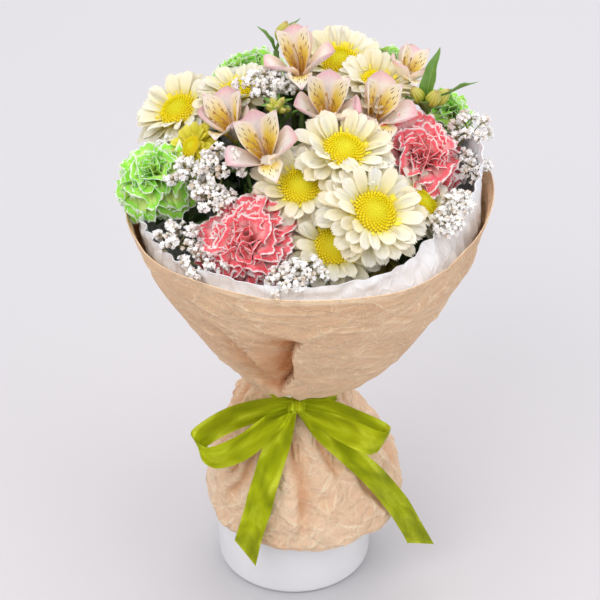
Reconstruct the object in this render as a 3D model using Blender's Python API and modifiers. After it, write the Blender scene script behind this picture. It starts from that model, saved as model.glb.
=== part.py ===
"""A hand-tied bouquet of mixed flowers, wrapped in kraft paper and standing in a white vase.

Metres, +Z up. The origin is the centre of the vase's foot, and -Y is the front, where the bow is.
"""

import math

import bmesh
import bpy
from mathutils import Matrix, Vector

# Driving dimensions, in metres.
GAP = 0.0003  # kept between pieces that touch
SIDES = 32  # round the vase, the papers and the ribbon's band

VASE_RADIUS = 0.064
VASE_HEIGHT = 0.112
VASE_WALL = 0.005
VASE_FLOOR = 0.006
VASE_FOOT_ROUND = 0.006

TIE_HEIGHT = 0.180  # middle of the ribbon's band
TIE_X = 0.006  # the neck of the bunch stands this far to the right of the vase's axis
BINDING_RADIUS = 0.0285  # outer radius of the string under the paper
BINDING_THICKNESS = 0.0017
BINDING_WIDTH = 0.008

TISSUE_WALL = 0.0012
KRAFT_WALL = 0.0015
COLLAR_NECK = BINDING_RADIUS + TISSUE_WALL + KRAFT_WALL + 0.0008
SKIRT_NECK = COLLAR_NECK + KRAFT_WALL + GAP
TISSUE_INSET = COLLAR_NECK - BINDING_RADIUS - TISSUE_WALL - GAP

# Rings of the paper sheets: height, radius, centre X, centre Y.
COLLAR_RINGS = (
    (0.168, COLLAR_NECK, TIE_X, 0.000),
    (0.186, COLLAR_NECK, TIE_X, 0.000),
    (0.190, 0.0400, 0.007, 0.000),
    (0.197, 0.0520, 0.010, 0.000),
    (0.207, 0.0630, 0.012, 0.000),
    (0.222, 0.0770, 0.013, 0.001),
    (0.245, 0.0940, 0.013, 0.002),
    (0.275, 0.1120, 0.012, 0.003),
    (0.310, 0.1300, 0.011, 0.004),
    (0.352, 0.1420, 0.010, 0.004),
)
COLLAR_TIP_ANGLE = math.radians(10)  # where the rim rises to a soft point
COLLAR_TIP_RISE = 0.014
TISSUE_RISE = 0.007  # the tissue's edge stands above the paper's
TISSUE_TIP_RISE = 0.020
SKIRT_RINGS = (
    (0.058, 0.0810, 0.0085, 0.0),
    (0.066, 0.0835, 0.0085, 0.0),
    (0.076, 0.0830, 0.0085, 0.0),
    (0.090, 0.0800, 0.0080, 0.0),
    (0.108, 0.0755, 0.0060, 0.0),
    (0.127, 0.0680, 0.0050, 0.0),
    (0.145, 0.0565, 0.0055, 0.0),
    (0.158, 0.0470, TIE_X, 0.0),
    (0.166, 0.0400, TIE_X, 0.0),
    (0.172, SKIRT_NECK, TIE_X, 0.0),
    (0.1855, SKIRT_NECK, TIE_X, 0.0),
)

RIBBON_THICKNESS = 0.0012
BAND_WIDTH = 0.011  # the ribbon is scrunched to about half its width round the neck
BAND_RADIUS = SKIRT_NECK + GAP + 0.0018
KNOT_PLACE = (0.002, -0.0412, 0.181)
KNOT_SIZE = (0.020, 0.012, 0.015)

# Stations along each run of ribbon: the middle of the ribbon, then half its width as a vector.
LEFT_LOOP = (
    ((0.004, -0.041, 0.184), (0.000, 0.001, 0.003)),
    ((-0.020, -0.043, 0.181), (-0.001, 0.004, 0.007)),
    ((-0.048, -0.043, 0.171), (-0.003, 0.005, 0.008)),
    ((-0.070, -0.045, 0.158), (-0.004, 0.005, 0.007)),
    ((-0.078, -0.051, 0.150), (-0.004, 0.004, 0.008)),
    ((-0.066, -0.060, 0.144), (-0.004, 0.004, 0.008)),
    ((-0.042, -0.060, 0.154), (-0.004, 0.005, 0.008)),
    ((-0.018, -0.050, 0.169), (-0.003, 0.005, 0.007)),
    ((0.000, -0.042, 0.178), (0.000, 0.001, 0.002)),
)
RIGHT_LOOP = (
    ((0.000, -0.041, 0.184), (0.000, 0.001, 0.003)),
    ((0.026, -0.043, 0.180), (0.002, 0.004, 0.007)),
    ((0.050, -0.048, 0.170), (0.004, 0.005, 0.008)),
    ((0.068, -0.050, 0.160), (0.006, 0.005, 0.008)),
    ((0.073, -0.055, 0.156), (0.006, 0.005, 0.008)),
    ((0.064, -0.059, 0.158), (0.005, 0.005, 0.008)),
    ((0.044, -0.055, 0.166), (0.004, 0.005, 0.008)),
    ((0.022, -0.048, 0.173), (0.002, 0.004, 0.006)),
    ((0.004, -0.042, 0.178), (0.000, 0.001, 0.002)),
)
LEFT_TAIL = (
    ((0.000, -0.042, 0.180), (0.003, 0.000, 0.001)),
    ((-0.010, -0.054, 0.162), (0.009, -0.003, -0.001)),
    ((-0.020, -0.067, 0.136), (0.010, -0.004, -0.002)),
    ((-0.029, -0.077, 0.104), (0.010, -0.004, -0.002)),
    ((-0.036, -0.082, 0.076), (0.010, -0.003, -0.002)),
    ((-0.040, -0.082, 0.054), (0.010, -0.003, -0.005)),
)
RIGHT_TAIL = (
    ((0.004, -0.042, 0.180), (0.002, 0.001, 0.002)),
    ((0.022, -0.050, 0.166), (0.006, 0.004, 0.005)),
    ((0.042, -0.056, 0.147), (0.007, 0.004, 0.004)),
    ((0.064, -0.053, 0.120), (0.008, 0.005, 0.003)),
    ((0.084, -0.044, 0.084), (0.008, 0.005, 0.003)),
    ((0.097, -0.038, 0.054), (0.008, 0.004, 0.003)),
    ((0.106, -0.034, 0.031), (0.008, 0.004, 0.004)),
)

# The stems stand in a bundle that is narrowest at the tie and spreads above and below it.
BUNCH_TOP = 0.380
BUNCH_TOP_CENTRE = (0.008, 0.018)
BUNDLE_RADIUS = 0.0220  # of the outermost stems' middles at the tie
TOP_SPREAD = 4.8  # at BUNCH_TOP, times a stem's place at the tie
FOOT_SPREAD = 1.45  # on the vase's floor
STEM_FOOT = VASE_FLOOR + GAP
STRAIGHT_END = 0.008  # the last stretch of a stem points straight into its flower
FORK_DROP = 0.085  # a spray forks this far under its flowers

# Each flower: place of its face's centre, radius, then the lean of its face to +X and +Y.
CHRYSANTHEMUM_SPRAYS = (
    (
        ((-0.091, 0.074, 0.388), 0.027, (-0.45, -0.30)),
        ((-0.043, 0.068, 0.409), 0.022, (-0.15, 0.00)),
        ((-0.070, 0.104, 0.376), 0.025, (-0.45, 0.60)),
    ),
    (
        ((0.036, 0.096, 0.420), 0.025, (0.00, 0.00)),
        ((0.066, 0.063, 0.419), 0.020, (0.30, -0.15)),
    ),
    (
        ((0.038, -0.024, 0.411), 0.026, (0.15, -0.35)),
        ((0.006, -0.045, 0.392), 0.025, (-0.10, -0.60)),
    ),
    (
        ((0.060, -0.068, 0.384), 0.030, (0.40, -0.65)),
        ((0.031, -0.080, 0.362), 0.022, (0.10, -0.90)),
        ((0.098, -0.028, 0.366), 0.020, (0.80, -0.25)),
    ),
    (((0.000, 0.128, 0.378), 0.025, (0.00, 0.85)),),
    (((-0.078, 0.009, 0.395), 0.015, (-0.80, -0.50)),),
)
CARNATIONS = (
    ("coral", (-0.035, -0.080, 0.369), 0.028, (-0.30, -0.75)),
    ("coral", (0.102, 0.010, 0.390), 0.028, (0.65, -0.30)),
    ("coral", (0.050, 0.121, 0.377), 0.023, (0.40, 0.75)),
    ("green", (-0.111, -0.005, 0.374), 0.025, (-0.45, -0.20)),
    ("green", (-0.036, 0.115, 0.407), 0.020, (-0.20, 0.30)),
    ("green", (0.082, 0.108, 0.419), 0.016, (0.30, 0.30)),
    ("green", (0.127, 0.075, 0.392), 0.021, (0.70, 0.20)),
)
ALSTROEMERIA_SPRAYS = (
    (
        ((-0.024, -0.022, 0.415), 0.022, (-0.20, -0.35)),
        ((-0.053, 0.024, 0.412), 0.020, (-0.35, -0.15)),
    ),
    (((0.003, 0.074, 0.438), 0.023, (-0.10, -0.10)),),
    (
        ((0.026, 0.020, 0.427), 0.022, (0.00, -0.35)),
        ((0.067, 0.026, 0.421), 0.021, (0.35, -0.35)),
    ),
    (((0.093, 0.079, 0.430), 0.015, (0.35, 0.00)),),
)
# Buds with their own leaves: place of the base, a bud's radius, then the direction and length of
# each bud and of each leaf.
BUD_SPRIGS = (
    (
        (0.104, 0.050, 0.402),
        0.005,
        ((0.3, -0.4, 1.0, 0.026), (-0.5, 0.0, 1.0, 0.024), (0.8, 0.2, 0.8, 0.024)),
        ((0.2, 0.3, 1.0, 0.052), (1.0, 0.0, 0.7, 0.048), (-0.2, -0.9, 0.9, 0.034)),
    ),
    (
        (-0.014, 0.104, 0.426),
        0.005,
        ((0.3, -0.1, 1.0, 0.028),),
        ((0.7, 0.2, 1.0, 0.034), (-0.6, 0.3, 0.8, 0.026)),
    ),
)
# Sprigs of white sea lavender: the tip of each of their clusters and its radius.
SEA_LAVENDER_SPRIGS = (
    (
        ((-0.078, -0.024, 0.388), 0.011),
        ((-0.056, -0.030, 0.400), 0.011),
        ((-0.060, -0.050, 0.384), 0.009),
    ),
    (((-0.088, -0.064, 0.356), 0.012), ((-0.066, -0.088, 0.350), 0.011)),
    (((-0.006, -0.112, 0.350), 0.009), ((0.008, -0.106, 0.354), 0.010)),
    (((0.118, -0.054, 0.362), 0.010), ((0.130, -0.030, 0.364), 0.009)),
    (((0.138, 0.042, 0.388), 0.012), ((0.138, 0.020, 0.368), 0.009)),
    (((-0.026, 0.046, 0.426), 0.011), ((-0.012, 0.056, 0.422), 0.009)),
    (((-0.107, 0.042, 0.364), 0.010), ((-0.094, 0.034, 0.374), 0.009)),
)
# Leafy sprigs among the flowers: the tip of the stem, then each leaf's direction and length.
LEAFY_SPRIGS = (
    (
        (-0.040, -0.042, 0.340),
        ((-0.9, -0.3, 0.5, 0.030), (-0.5, -0.9, 0.4, 0.034), (-0.4, 0.4, 1.0, 0.034)),
    ),
    (
        (0.084, -0.062, 0.334),
        ((0.9, -0.4, 0.5, 0.036), (-0.1, -1.0, 0.4, 0.040), (0.4, 0.5, 1.0, 0.026)),
    ),
)

CHRYSANTHEMUM_STEM = 0.0019
CARNATION_STEM = 0.0022
ALSTROEMERIA_STEM = 0.0020
SEA_LAVENDER_STEM = 0.0014
TWIG = 0.7  # a side branch, times its main stem
LEAF_WIDTH = 0.28  # times the leaf's length
LEAF_THICKNESS = 0.0022

WHITE_GLAZE = ((0.86, 0.86, 0.87), 0.15)
KRAFT = ((0.62, 0.42, 0.27), 0.85)
TISSUE = ((0.88, 0.88, 0.90), 0.80)
LIME_SATIN = ((0.42, 0.52, 0.03), 0.35)
STRING = ((0.55, 0.45, 0.30), 0.90)
CREAM_PETAL = ((0.90, 0.84, 0.58), 0.60)
CORAL_PETAL = ((0.80, 0.18, 0.18), 0.60)
GREEN_PETAL = ((0.25, 0.70, 0.12), 0.60)
PINK_PETAL = ((0.86, 0.66, 0.58), 0.55)
STEM_GREEN = ((0.18, 0.32, 0.08), 0.55)
LEAF_GREEN = ((0.10, 0.22, 0.05), 0.55)
SEA_LAVENDER_WHITE = ((0.85, 0.84, 0.80), 0.70)


def clear_scene():
    for item in list(bpy.data.objects):
        bpy.data.objects.remove(item, do_unlink=True)


def new_collection(name):
    collection = bpy.data.collections.new(name)
    bpy.context.scene.collection.children.link(collection)
    return collection


clear_scene()
PARTS = new_collection("mixed_flower_bouquet")
HELPERS = new_collection("joined_shapes")


def material(name, finish):
    """A Principled material, made once for each finish."""
    found = bpy.data.materials.get(name)
    if found:
        return found
    made = bpy.data.materials.new(name)
    made.use_nodes = True
    shader = made.node_tree.nodes["Principled BSDF"]
    colour, roughness = finish
    shader.inputs["Base Color"].default_value = (*colour, 1.0)
    shader.inputs["Roughness"].default_value = roughness
    shader.inputs["Metallic"].default_value = 0.0
    return made


def add_part(name, data, finish_name, finish):
    part = bpy.data.objects.new(name, data)
    data.materials.append(material(finish_name, finish))
    PARTS.objects.link(part)
    return part


def mesh_from(name, shape):
    mesh = bpy.data.meshes.new(name)
    shape.to_mesh(mesh)
    shape.free()
    mesh.shade_smooth()
    return mesh


def turned(name, profile, sides, finish_name, finish):
    """A piece turned about its own Z axis from a profile that runs down its outer side."""
    mesh = bpy.data.meshes.new(name)
    steps = range(len(profile) - 1)
    mesh.from_pydata([(r, 0.0, z) for r, z in profile], [(i, i + 1) for i in steps], [])
    part = add_part(name, mesh, finish_name, finish)
    screw = part.modifiers.new("turn", "SCREW")
    screw.steps = screw.render_steps = sides
    screw.use_merge_vertices = True
    screw.merge_threshold = 0.00001
    screw.use_smooth_shade = True
    return part


def sheet_round(name, rings, wall, inset, tip_rise, finish_name, finish):
    """A paper sheet carried round a set of rings, then given its wall inwards.

    The sheet stands `inset` inside the rings, and its top edge rises by tip_rise at the tip.
    """
    shape = bmesh.new()
    bmesh.ops.create_grid(shape, x_segments=SIDES, y_segments=len(rings) - 1, size=0.5)
    for vertex in shape.verts:
        turn = math.tau * (vertex.co.x + 0.5)
        height, radius, centre_x, centre_y = rings[round((vertex.co.y + 0.5) * (len(rings) - 1))]
        share = max(0.0, (height - TIE_HEIGHT) / (rings[-1][0] - TIE_HEIGHT))
        lobe = max(0.0, math.cos(turn - COLLAR_TIP_ANGLE)) ** 6
        x = centre_x + radius * math.cos(turn)
        y = centre_y + radius * math.sin(turn)
        vertex.co = (x, y, height + tip_rise * lobe * share**4)
    bmesh.ops.remove_doubles(shape, verts=shape.verts, dist=0.00001)
    shape.normal_update()
    for vertex in shape.verts:
        vertex.co -= inset * vertex.normal
    part = add_part(name, mesh_from(name, shape), finish_name, finish)
    solidify = part.modifiers.new("wall", "SOLIDIFY")
    solidify.thickness = wall
    solidify.offset = -1.0
    return part


def place_facing(part, centre, lean):
    """Moves a turned flower so that its axis leans by the given slopes to +X and +Y."""
    part.location = centre
    part.rotation_mode = "QUATERNION"
    part.rotation_quaternion = facing(lean).to_track_quat("Z", "Y")


def facing(lean):
    return Vector((lean[0], lean[1], 1.0)).normalized()


def bunch_centre(height):
    """Middle of the bundle of stems at a height."""
    if height < TIE_HEIGHT:
        return Vector((TIE_X * height / TIE_HEIGHT, 0.0, height))
    share = (height - TIE_HEIGHT) / (BUNCH_TOP - TIE_HEIGHT)
    x = TIE_X + (BUNCH_TOP_CENTRE[0] - TIE_X) * share
    return Vector((x, BUNCH_TOP_CENTRE[1] * share, height))


def bunch_spread(height):
    """How far apart the stems are at a height, against the tie."""
    if height < TIE_HEIGHT:
        return 1 + (FOOT_SPREAD - 1) * (TIE_HEIGHT - height) / (TIE_HEIGHT - STEM_FOOT)
    return 1 + (TOP_SPREAD - 1) * (height - TIE_HEIGHT) / (BUNCH_TOP - TIE_HEIGHT)


def tie_place(point):
    """Where the stem through this point crosses the tie, from the bundle's middle."""
    offset = (point - bunch_centre(point.z)) / bunch_spread(point.z)
    place = Vector((offset.x, offset.y, 0.0))
    if place.length > BUNDLE_RADIUS:
        place *= BUNDLE_RADIUS / place.length
    return place


def on_stem(place, height):
    return bunch_centre(height) + place * bunch_spread(height)


def stem_to(place, top):
    """A stem's points from the vase's floor up to just under its top.

    A stem that the tie draws in bends out again to its top over the stretch above the tie.
    """
    miss = top - on_stem(place, top.z)
    levels = (STEM_FOOT, 0.100, 0.150, TIE_HEIGHT, 0.215, 0.260, 0.310, 0.350)
    points = []
    for level in levels:
        if level < top.z - 0.012:
            share = max(0.0, level - TIE_HEIGHT) / (top.z - TIE_HEIGHT)
            points.append(on_stem(place, level) + miss * share**2)
    return points


def curve_data(name, points, radius):
    """A round stem through the points."""
    data = bpy.data.curves.new(name, "CURVE")
    data.dimensions = "3D"
    data.bevel_depth = radius
    data.bevel_resolution = 1
    data.use_fill_caps = True
    spline = data.splines.new("POLY")
    spline.points.add(len(points) - 1)
    for point, target in zip(points, spline.points):
        target.co = (*point, 1.0)
    return data


def tube_mesh(name, points, radius):
    """A stem made a mesh, so that others can be joined to it."""
    data = curve_data(name, points, radius)
    guide = bpy.data.objects.new(name + "_guide", data)
    HELPERS.objects.link(guide)
    graph = bpy.context.evaluated_depsgraph_get()
    mesh = bpy.data.meshes.new_from_object(guide.evaluated_get(graph))
    bpy.data.objects.remove(guide, do_unlink=True)
    bpy.data.curves.remove(data)
    shape = bmesh.new()
    shape.from_mesh(mesh)
    bmesh.ops.remove_doubles(shape, verts=shape.verts, dist=0.00001)
    bmesh.ops.recalc_face_normals(shape, faces=shape.faces)
    bpy.data.meshes.remove(mesh)
    return mesh_from(name, shape)


def ellipsoid_mesh(name, centre, direction, length, width, thickness, sides=8, levels=6):
    """A ball stretched along a direction, for buds, clusters and leaves."""
    axis = Vector(direction).normalized()
    turn = axis.to_track_quat("Z", "Y").to_matrix().to_4x4()
    size = Matrix.Diagonal((width / 2, thickness / 2, length / 2, 1.0))
    shape = bmesh.new()
    bmesh.ops.create_uvsphere(
        shape,
        u_segments=sides,
        v_segments=levels,
        radius=1.0,
        matrix=Matrix.Translation(centre) @ turn @ size,
    )
    return mesh_from(name, shape)


def joined(name, meshes, finish_name, finish):
    """One solid from several overlapping ones: the first mesh, united with all the others."""
    part = add_part(name, meshes[0], finish_name, finish)
    others = bpy.data.collections.new(name + "_shapes")
    HELPERS.children.link(others)
    for index, mesh in enumerate(meshes[1:]):
        helper = bpy.data.objects.new(f"{name}_shape_{index + 1}", mesh)
        helper.hide_render = True
        helper.display_type = "WIRE"
        others.objects.link(helper)
    union = part.modifiers.new("join", "BOOLEAN")
    union.operation = "UNION"
    union.operand_type = "COLLECTION"
    union.collection = others
    union.solver = "EXACT"
    return part


def make_vase():
    inner = VASE_RADIUS - VASE_WALL
    lip = VASE_WALL / 3
    foot = VASE_FOOT_ROUND
    profile = [
        (0.0, VASE_FLOOR),
        (inner - foot, VASE_FLOOR),
        (inner, VASE_FLOOR + foot),
        (inner, VASE_HEIGHT - lip),
        (inner + lip, VASE_HEIGHT),
        (VASE_RADIUS - lip, VASE_HEIGHT),
        (VASE_RADIUS, VASE_HEIGHT - lip),
    ]
    for step in range(5):
        angle = math.radians(90 * step / 4)
        radius = VASE_RADIUS - foot + foot * math.cos(angle)
        profile.append((radius, foot - foot * math.sin(angle)))
    profile.append((0.0, 0.0))
    turned("vase", profile, SIDES, "white_glaze", WHITE_GLAZE)


def make_papers():
    sheet_round("kraft_collar", COLLAR_RINGS, KRAFT_WALL, 0.0, COLLAR_TIP_RISE, "kraft", KRAFT)
    sheet_round("kraft_skirt", SKIRT_RINGS, KRAFT_WALL, 0.0, 0.0, "kraft", KRAFT)
    top, radius, centre_x, centre_y = COLLAR_RINGS[-1]
    tissue_rings = COLLAR_RINGS + ((top + TISSUE_RISE, radius, centre_x, centre_y),)
    sheet_round(
        "tissue_liner",
        tissue_rings,
        TISSUE_WALL,
        TISSUE_INSET,
        TISSUE_TIP_RISE,
        "white_tissue",
        TISSUE,
    )


def ring(name, outer, thickness, width, height, finish_name, finish):
    low, high = -width / 2, width / 2
    inner = outer - thickness
    profile = [(inner, low), (inner, high), (outer, high), (outer, low), (inner, low)]
    part = turned(name, profile, SIDES, finish_name, finish)
    part.location = (TIE_X, 0.0, height)
    return part


def ribbon_run(name, stations):
    """A flat run of ribbon through its stations, as a thin closed strip."""
    shape = bmesh.new()
    bmesh.ops.create_grid(shape, x_segments=3 * (len(stations) - 1), y_segments=1, size=0.5)
    for vertex in shape.verts:
        along = (vertex.co.x + 0.5) * (len(stations) - 1)
        side = 2 * vertex.co.y
        vertex.co = smooth_point(stations, along, 0) + side * smooth_point(stations, along, 1)
    mesh = mesh_from(name, shape)
    strip = bpy.data.objects.new(name, mesh)
    HELPERS.objects.link(strip)
    solidify = strip.modifiers.new("wall", "SOLIDIFY")
    solidify.thickness = RIBBON_THICKNESS
    solidify.offset = 0.0
    graph = bpy.context.evaluated_depsgraph_get()
    solid = bpy.data.meshes.new_from_object(strip.evaluated_get(graph))
    bpy.data.objects.remove(strip, do_unlink=True)
    return solid


def smooth_point(stations, along, item):
    """A point on the smooth (Catmull-Rom) curve through one item of the stations."""
    last = len(stations) - 1
    start = min(int(along), last - 1)
    t = along - start
    before, here, there, after = (
        Vector(stations[min(max(index, 0), last)][item]) for index in range(start - 1, start + 3)
    )
    return 0.5 * (
        2 * here
        + (there - before) * t
        + (2 * before - 5 * here + 4 * there - after) * t**2
        + (3 * here - before - 3 * there + after) * t**3
    )


def make_ribbon():
    """The band round the neck, the knot, two loops and two tails are one length of ribbon."""
    band = ring("ribbon_band", BAND_RADIUS, 0.0018, BAND_WIDTH, TIE_HEIGHT, "lime_satin", LIME_SATIN)
    graph = bpy.context.evaluated_depsgraph_get()
    band_mesh = bpy.data.meshes.new_from_object(band.evaluated_get(graph))
    band_mesh.transform(Matrix.Translation((TIE_X, 0.0, TIE_HEIGHT)))
    bpy.data.objects.remove(band, do_unlink=True)
    length, depth, height = KNOT_SIZE
    knot = ellipsoid_mesh("ribbon_knot", KNOT_PLACE, (1, 0, 0), length, height, depth, 12, 8)
    runs = {"left_loop": LEFT_LOOP, "right_loop": RIGHT_LOOP, "left_tail": LEFT_TAIL}
    runs["right_tail"] = RIGHT_TAIL
    meshes = [knot, band_mesh] + [ribbon_run(name, stations) for name, stations in runs.items()]
    joined("satin_ribbon", meshes, "lime_satin", LIME_SATIN)


def chrysanthemum_head(name, flower):
    centre, radius, lean = flower
    profile = [
        (0.0, 0.0075),
        (0.0080, 0.0070),
        (0.0140, 0.0040),
        (radius, 0.0010),
        (radius - 0.0010, -0.0015),
        (0.0110, -0.0085),
        (0.0045, -0.0130),
        (0.0, -0.0130),
    ]
    part = turned(name, profile, 14, "cream_petal", CREAM_PETAL)
    place_facing(part, centre, lean)
    return profile[-1][1]


def carnation_head(name, flower, finish_name, finish):
    centre, radius, lean = flower
    profile = [
        (0.0, 0.5 * radius),
        (0.45 * radius, 0.5 * radius),
        (0.80 * radius, 0.32 * radius),
        (radius, 0.0),
        (0.85 * radius, -0.30 * radius),
        (0.40 * radius, -0.55 * radius),
        (0.0065, -0.70 * radius),
        (0.0055, -0.70 * radius - 0.014),
        (0.0032, -0.70 * radius - 0.017),
        (0.0, -0.70 * radius - 0.017),
    ]
    part = turned(name, profile, 12, finish_name, finish)
    place_facing(part, centre, lean)
    return profile[-1][1]


def alstroemeria_flower(name, flower):
    centre, radius, lean = flower
    profile = [
        (0.0, -0.0080),
        (0.40 * radius, 0.0010),
        (radius, 0.0100),
        (radius - 0.0008, 0.0070),
        (0.40 * radius, -0.0130),
        (0.0034, -0.0260),
        (0.0, -0.0260),
    ]
    part = turned(name, profile, 12, "pink_petal", PINK_PETAL)
    place_facing(part, centre, lean)
    return profile[-1][1]


def stem_end(flower, depth):
    """The two last points of a stem that meets the underside of a flower."""
    centre, _, lean = flower
    axis = facing(lean)
    end = Vector(centre) + (depth - GAP) * axis
    return end - STRAIGHT_END * axis, end


def single_stem(name, flower, depth, radius):
    under, end = stem_end(flower, depth)
    place = tie_place(under)
    data = curve_data(name, stem_to(place, under) + [under, end], radius)
    add_part(name, data, "stem_green", STEM_GREEN)


def forked_stem(name, flowers, depths, radius):
    """One stem that forks under its flowers: the first flower ends the main stem."""
    ends = [stem_end(flower, depth) for flower, depth in zip(flowers, depths)]
    places = [tie_place(under) for under, _ in ends]
    main = sum(places, Vector()) / len(places)
    fork = on_stem(main, min(under.z for under, _ in ends) - FORK_DROP)
    meshes = []
    for index, (place, (under, end)) in enumerate(zip(places, ends)):
        branch = []
        miss = under - on_stem(place, under.z)
        for step in range(1, 4):
            share = step / 4
            ease = share * share * (3 - 2 * share)
            height = fork.z + share * (under.z - fork.z)
            branch.append(on_stem(main.lerp(place, ease), height) + miss * share**2)
        branch += [under, end]
        points, thickness = [fork] + branch, TWIG * radius
        if index == 0:
            points, thickness = stem_to(main, fork) + points, radius
        meshes.append(tube_mesh(f"{name}_branch_{index + 1}", points, thickness))
    joined(name, meshes, "stem_green", STEM_GREEN)


def make_stem(name, flowers, depths, radius):
    if len(flowers) == 1:
        single_stem(name, flowers[0], depths[0], radius)
    else:
        forked_stem(name, flowers, depths, radius)


def make_chrysanthemums():
    number = 0
    for spray, flowers in enumerate(CHRYSANTHEMUM_SPRAYS):
        depths = []
        for flower in flowers:
            number += 1
            depths.append(chrysanthemum_head(f"chrysanthemum_head_{number}", flower))
        make_stem(f"chrysanthemum_stem_{spray + 1}", flowers, depths, CHRYSANTHEMUM_STEM)


def make_carnations():
    finishes = {"coral": CORAL_PETAL, "green": GREEN_PETAL}
    counts = {"coral": 0, "green": 0}
    for colour, centre, radius, lean in CARNATIONS:
        counts[colour] += 1
        flower = (centre, radius, lean)
        name = f"{colour}_carnation_head_{counts[colour]}"
        depth = carnation_head(name, flower, f"{colour}_petal", finishes[colour])
        single_stem(f"{colour}_carnation_stem_{counts[colour]}", flower, depth, CARNATION_STEM)


def make_alstroemerias():
    number = 0
    for spray, flowers in enumerate(ALSTROEMERIA_SPRAYS):
        depths = []
        for flower in flowers:
            number += 1
            depths.append(alstroemeria_flower(f"alstroemeria_flower_{number}", flower))
        make_stem(f"alstroemeria_stem_{spray + 1}", flowers, depths, ALSTROEMERIA_STEM)


def leaf_mesh(name, base, direction, length):
    axis = Vector(direction).normalized()
    centre = base + 0.48 * length * axis
    return ellipsoid_mesh(name, centre, axis, length, LEAF_WIDTH * length, LEAF_THICKNESS)


def grown_stem(name, top, radius):
    """A stem from the vase's floor to a point, as a mesh."""
    return tube_mesh(name, stem_to(tie_place(top), top) + [top], radius)


def make_bud_sprigs():
    for number, (base, radius, buds, leaves) in enumerate(BUD_SPRIGS):
        name = f"alstroemeria_bud_sprig_{number + 1}"
        base = Vector(base)
        meshes = [grown_stem(name + "_stem", base, ALSTROEMERIA_STEM)]
        for x, y, z, length in buds:
            axis = Vector((x, y, z)).normalized()
            centre = base + 0.5 * length * axis
            meshes.append(ellipsoid_mesh(name + "_bud", centre, axis, length, 2 * radius, 2 * radius))
        for x, y, z, length in leaves:
            meshes.append(leaf_mesh(name + "_leaf", base, (x, y, z), length))
        joined(name, meshes, "leaf_green", LEAF_GREEN)


def make_sea_lavender():
    for number, clusters in enumerate(SEA_LAVENDER_SPRIGS):
        name = f"sea_lavender_sprig_{number + 1}"
        tips = [Vector(centre) for centre, _ in clusters]
        places = [tie_place(tip) for tip in tips]
        main = sum(places, Vector()) / len(places)
        fork = on_stem(main, min(tip.z for tip in tips) - FORK_DROP / 2)
        trunk = stem_to(main, fork) + [fork]
        meshes = [tube_mesh(name + "_stem", trunk, SEA_LAVENDER_STEM)]
        for index, (tip, (_, radius)) in enumerate(zip(tips, clusters)):
            twig = [fork - Vector((0.0, 0.0, 0.004)), fork.lerp(tip, 0.5), tip]
            meshes.append(tube_mesh(f"{name}_twig_{index}", twig, TWIG * SEA_LAVENDER_STEM))
            meshes.append(
                ellipsoid_mesh(name + "_cluster", tip, (0, 0, 1), 1.5 * radius, 2 * radius, 2 * radius)
            )
        joined(name, meshes, "sea_lavender_white", SEA_LAVENDER_WHITE)


def make_leafy_sprigs():
    for number, (top, leaves) in enumerate(LEAFY_SPRIGS):
        name = f"leafy_sprig_{number + 1}"
        top = Vector(top)
        meshes = [grown_stem(name + "_stem", top, SEA_LAVENDER_STEM)]
        for x, y, z, length in leaves:
            meshes.append(leaf_mesh(name + "_leaf", top, (x, y, z), length))
        joined(name, meshes, "leaf_green", LEAF_GREEN)


def main():
    make_vase()
    make_papers()
    ring(
        "stem_binding",
        BINDING_RADIUS,
        BINDING_THICKNESS,
        BINDING_WIDTH,
        TIE_HEIGHT,
        "string",
        STRING,
    )
    make_ribbon()
    make_chrysanthemums()
    make_carnations()
    make_alstroemerias()
    make_bud_sprigs()
    make_sea_lavender()
    make_leafy_sprigs()


main()
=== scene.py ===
import math

import bpy
import numpy as np
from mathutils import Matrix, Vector


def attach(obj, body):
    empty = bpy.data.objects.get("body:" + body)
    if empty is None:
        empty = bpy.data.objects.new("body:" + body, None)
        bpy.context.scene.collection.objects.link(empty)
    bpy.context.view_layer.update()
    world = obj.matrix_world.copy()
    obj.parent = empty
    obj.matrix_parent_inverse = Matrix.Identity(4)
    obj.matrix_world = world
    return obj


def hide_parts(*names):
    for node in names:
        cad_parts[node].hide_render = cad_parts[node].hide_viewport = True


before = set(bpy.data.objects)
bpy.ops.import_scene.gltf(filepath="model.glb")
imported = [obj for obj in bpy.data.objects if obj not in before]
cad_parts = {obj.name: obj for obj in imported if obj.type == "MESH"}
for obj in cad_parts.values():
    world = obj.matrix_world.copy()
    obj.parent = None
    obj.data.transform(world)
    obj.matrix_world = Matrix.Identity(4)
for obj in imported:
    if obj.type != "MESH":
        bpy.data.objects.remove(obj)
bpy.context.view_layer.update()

# A hand-tied bouquet of mixed flowers in kraft paper, standing in a white vase.
# Metres, +Z up, -Y is the front, the vase's foot stands on z = 0.

random = np.random.default_rng(4)


# shapes: whole arrays of points, joined into closed shells

def unit(v):
    return v / np.maximum(np.linalg.norm(v, axis=-1, keepdims=True), 1e-12)


def ease(t):  # 3t^2 - 2t^3 between 0 and 1
    t = np.clip(t, 0, 1)
    return t * t * (3 - 2 * t)


def smoothLine(points, count):  # Catmull-Rom curve through the points, sampled evenly
    p = np.asarray(points, float)
    last = len(p) - 1
    along = np.linspace(0, last, count)
    k = np.minimum(along.astype(int), last - 1)
    t = (along - k)[:, None]
    a, b, c, d = (p[np.clip(k + n, 0, last)] for n in (-1, 0, 1, 2))
    return 0.5 * (2 * b + (c - a) * t + (2 * a - 5 * b + 4 * c - d) * t**2 + (3 * b - a - 3 * c + d) * t**3)


def quadsOf(index):  # four corners round each cell of a table of point numbers
    return np.stack([index[:-1, :-1], index[:-1, 1:], index[1:, 1:], index[1:, :-1]], -1).reshape(-1, 4)


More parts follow.
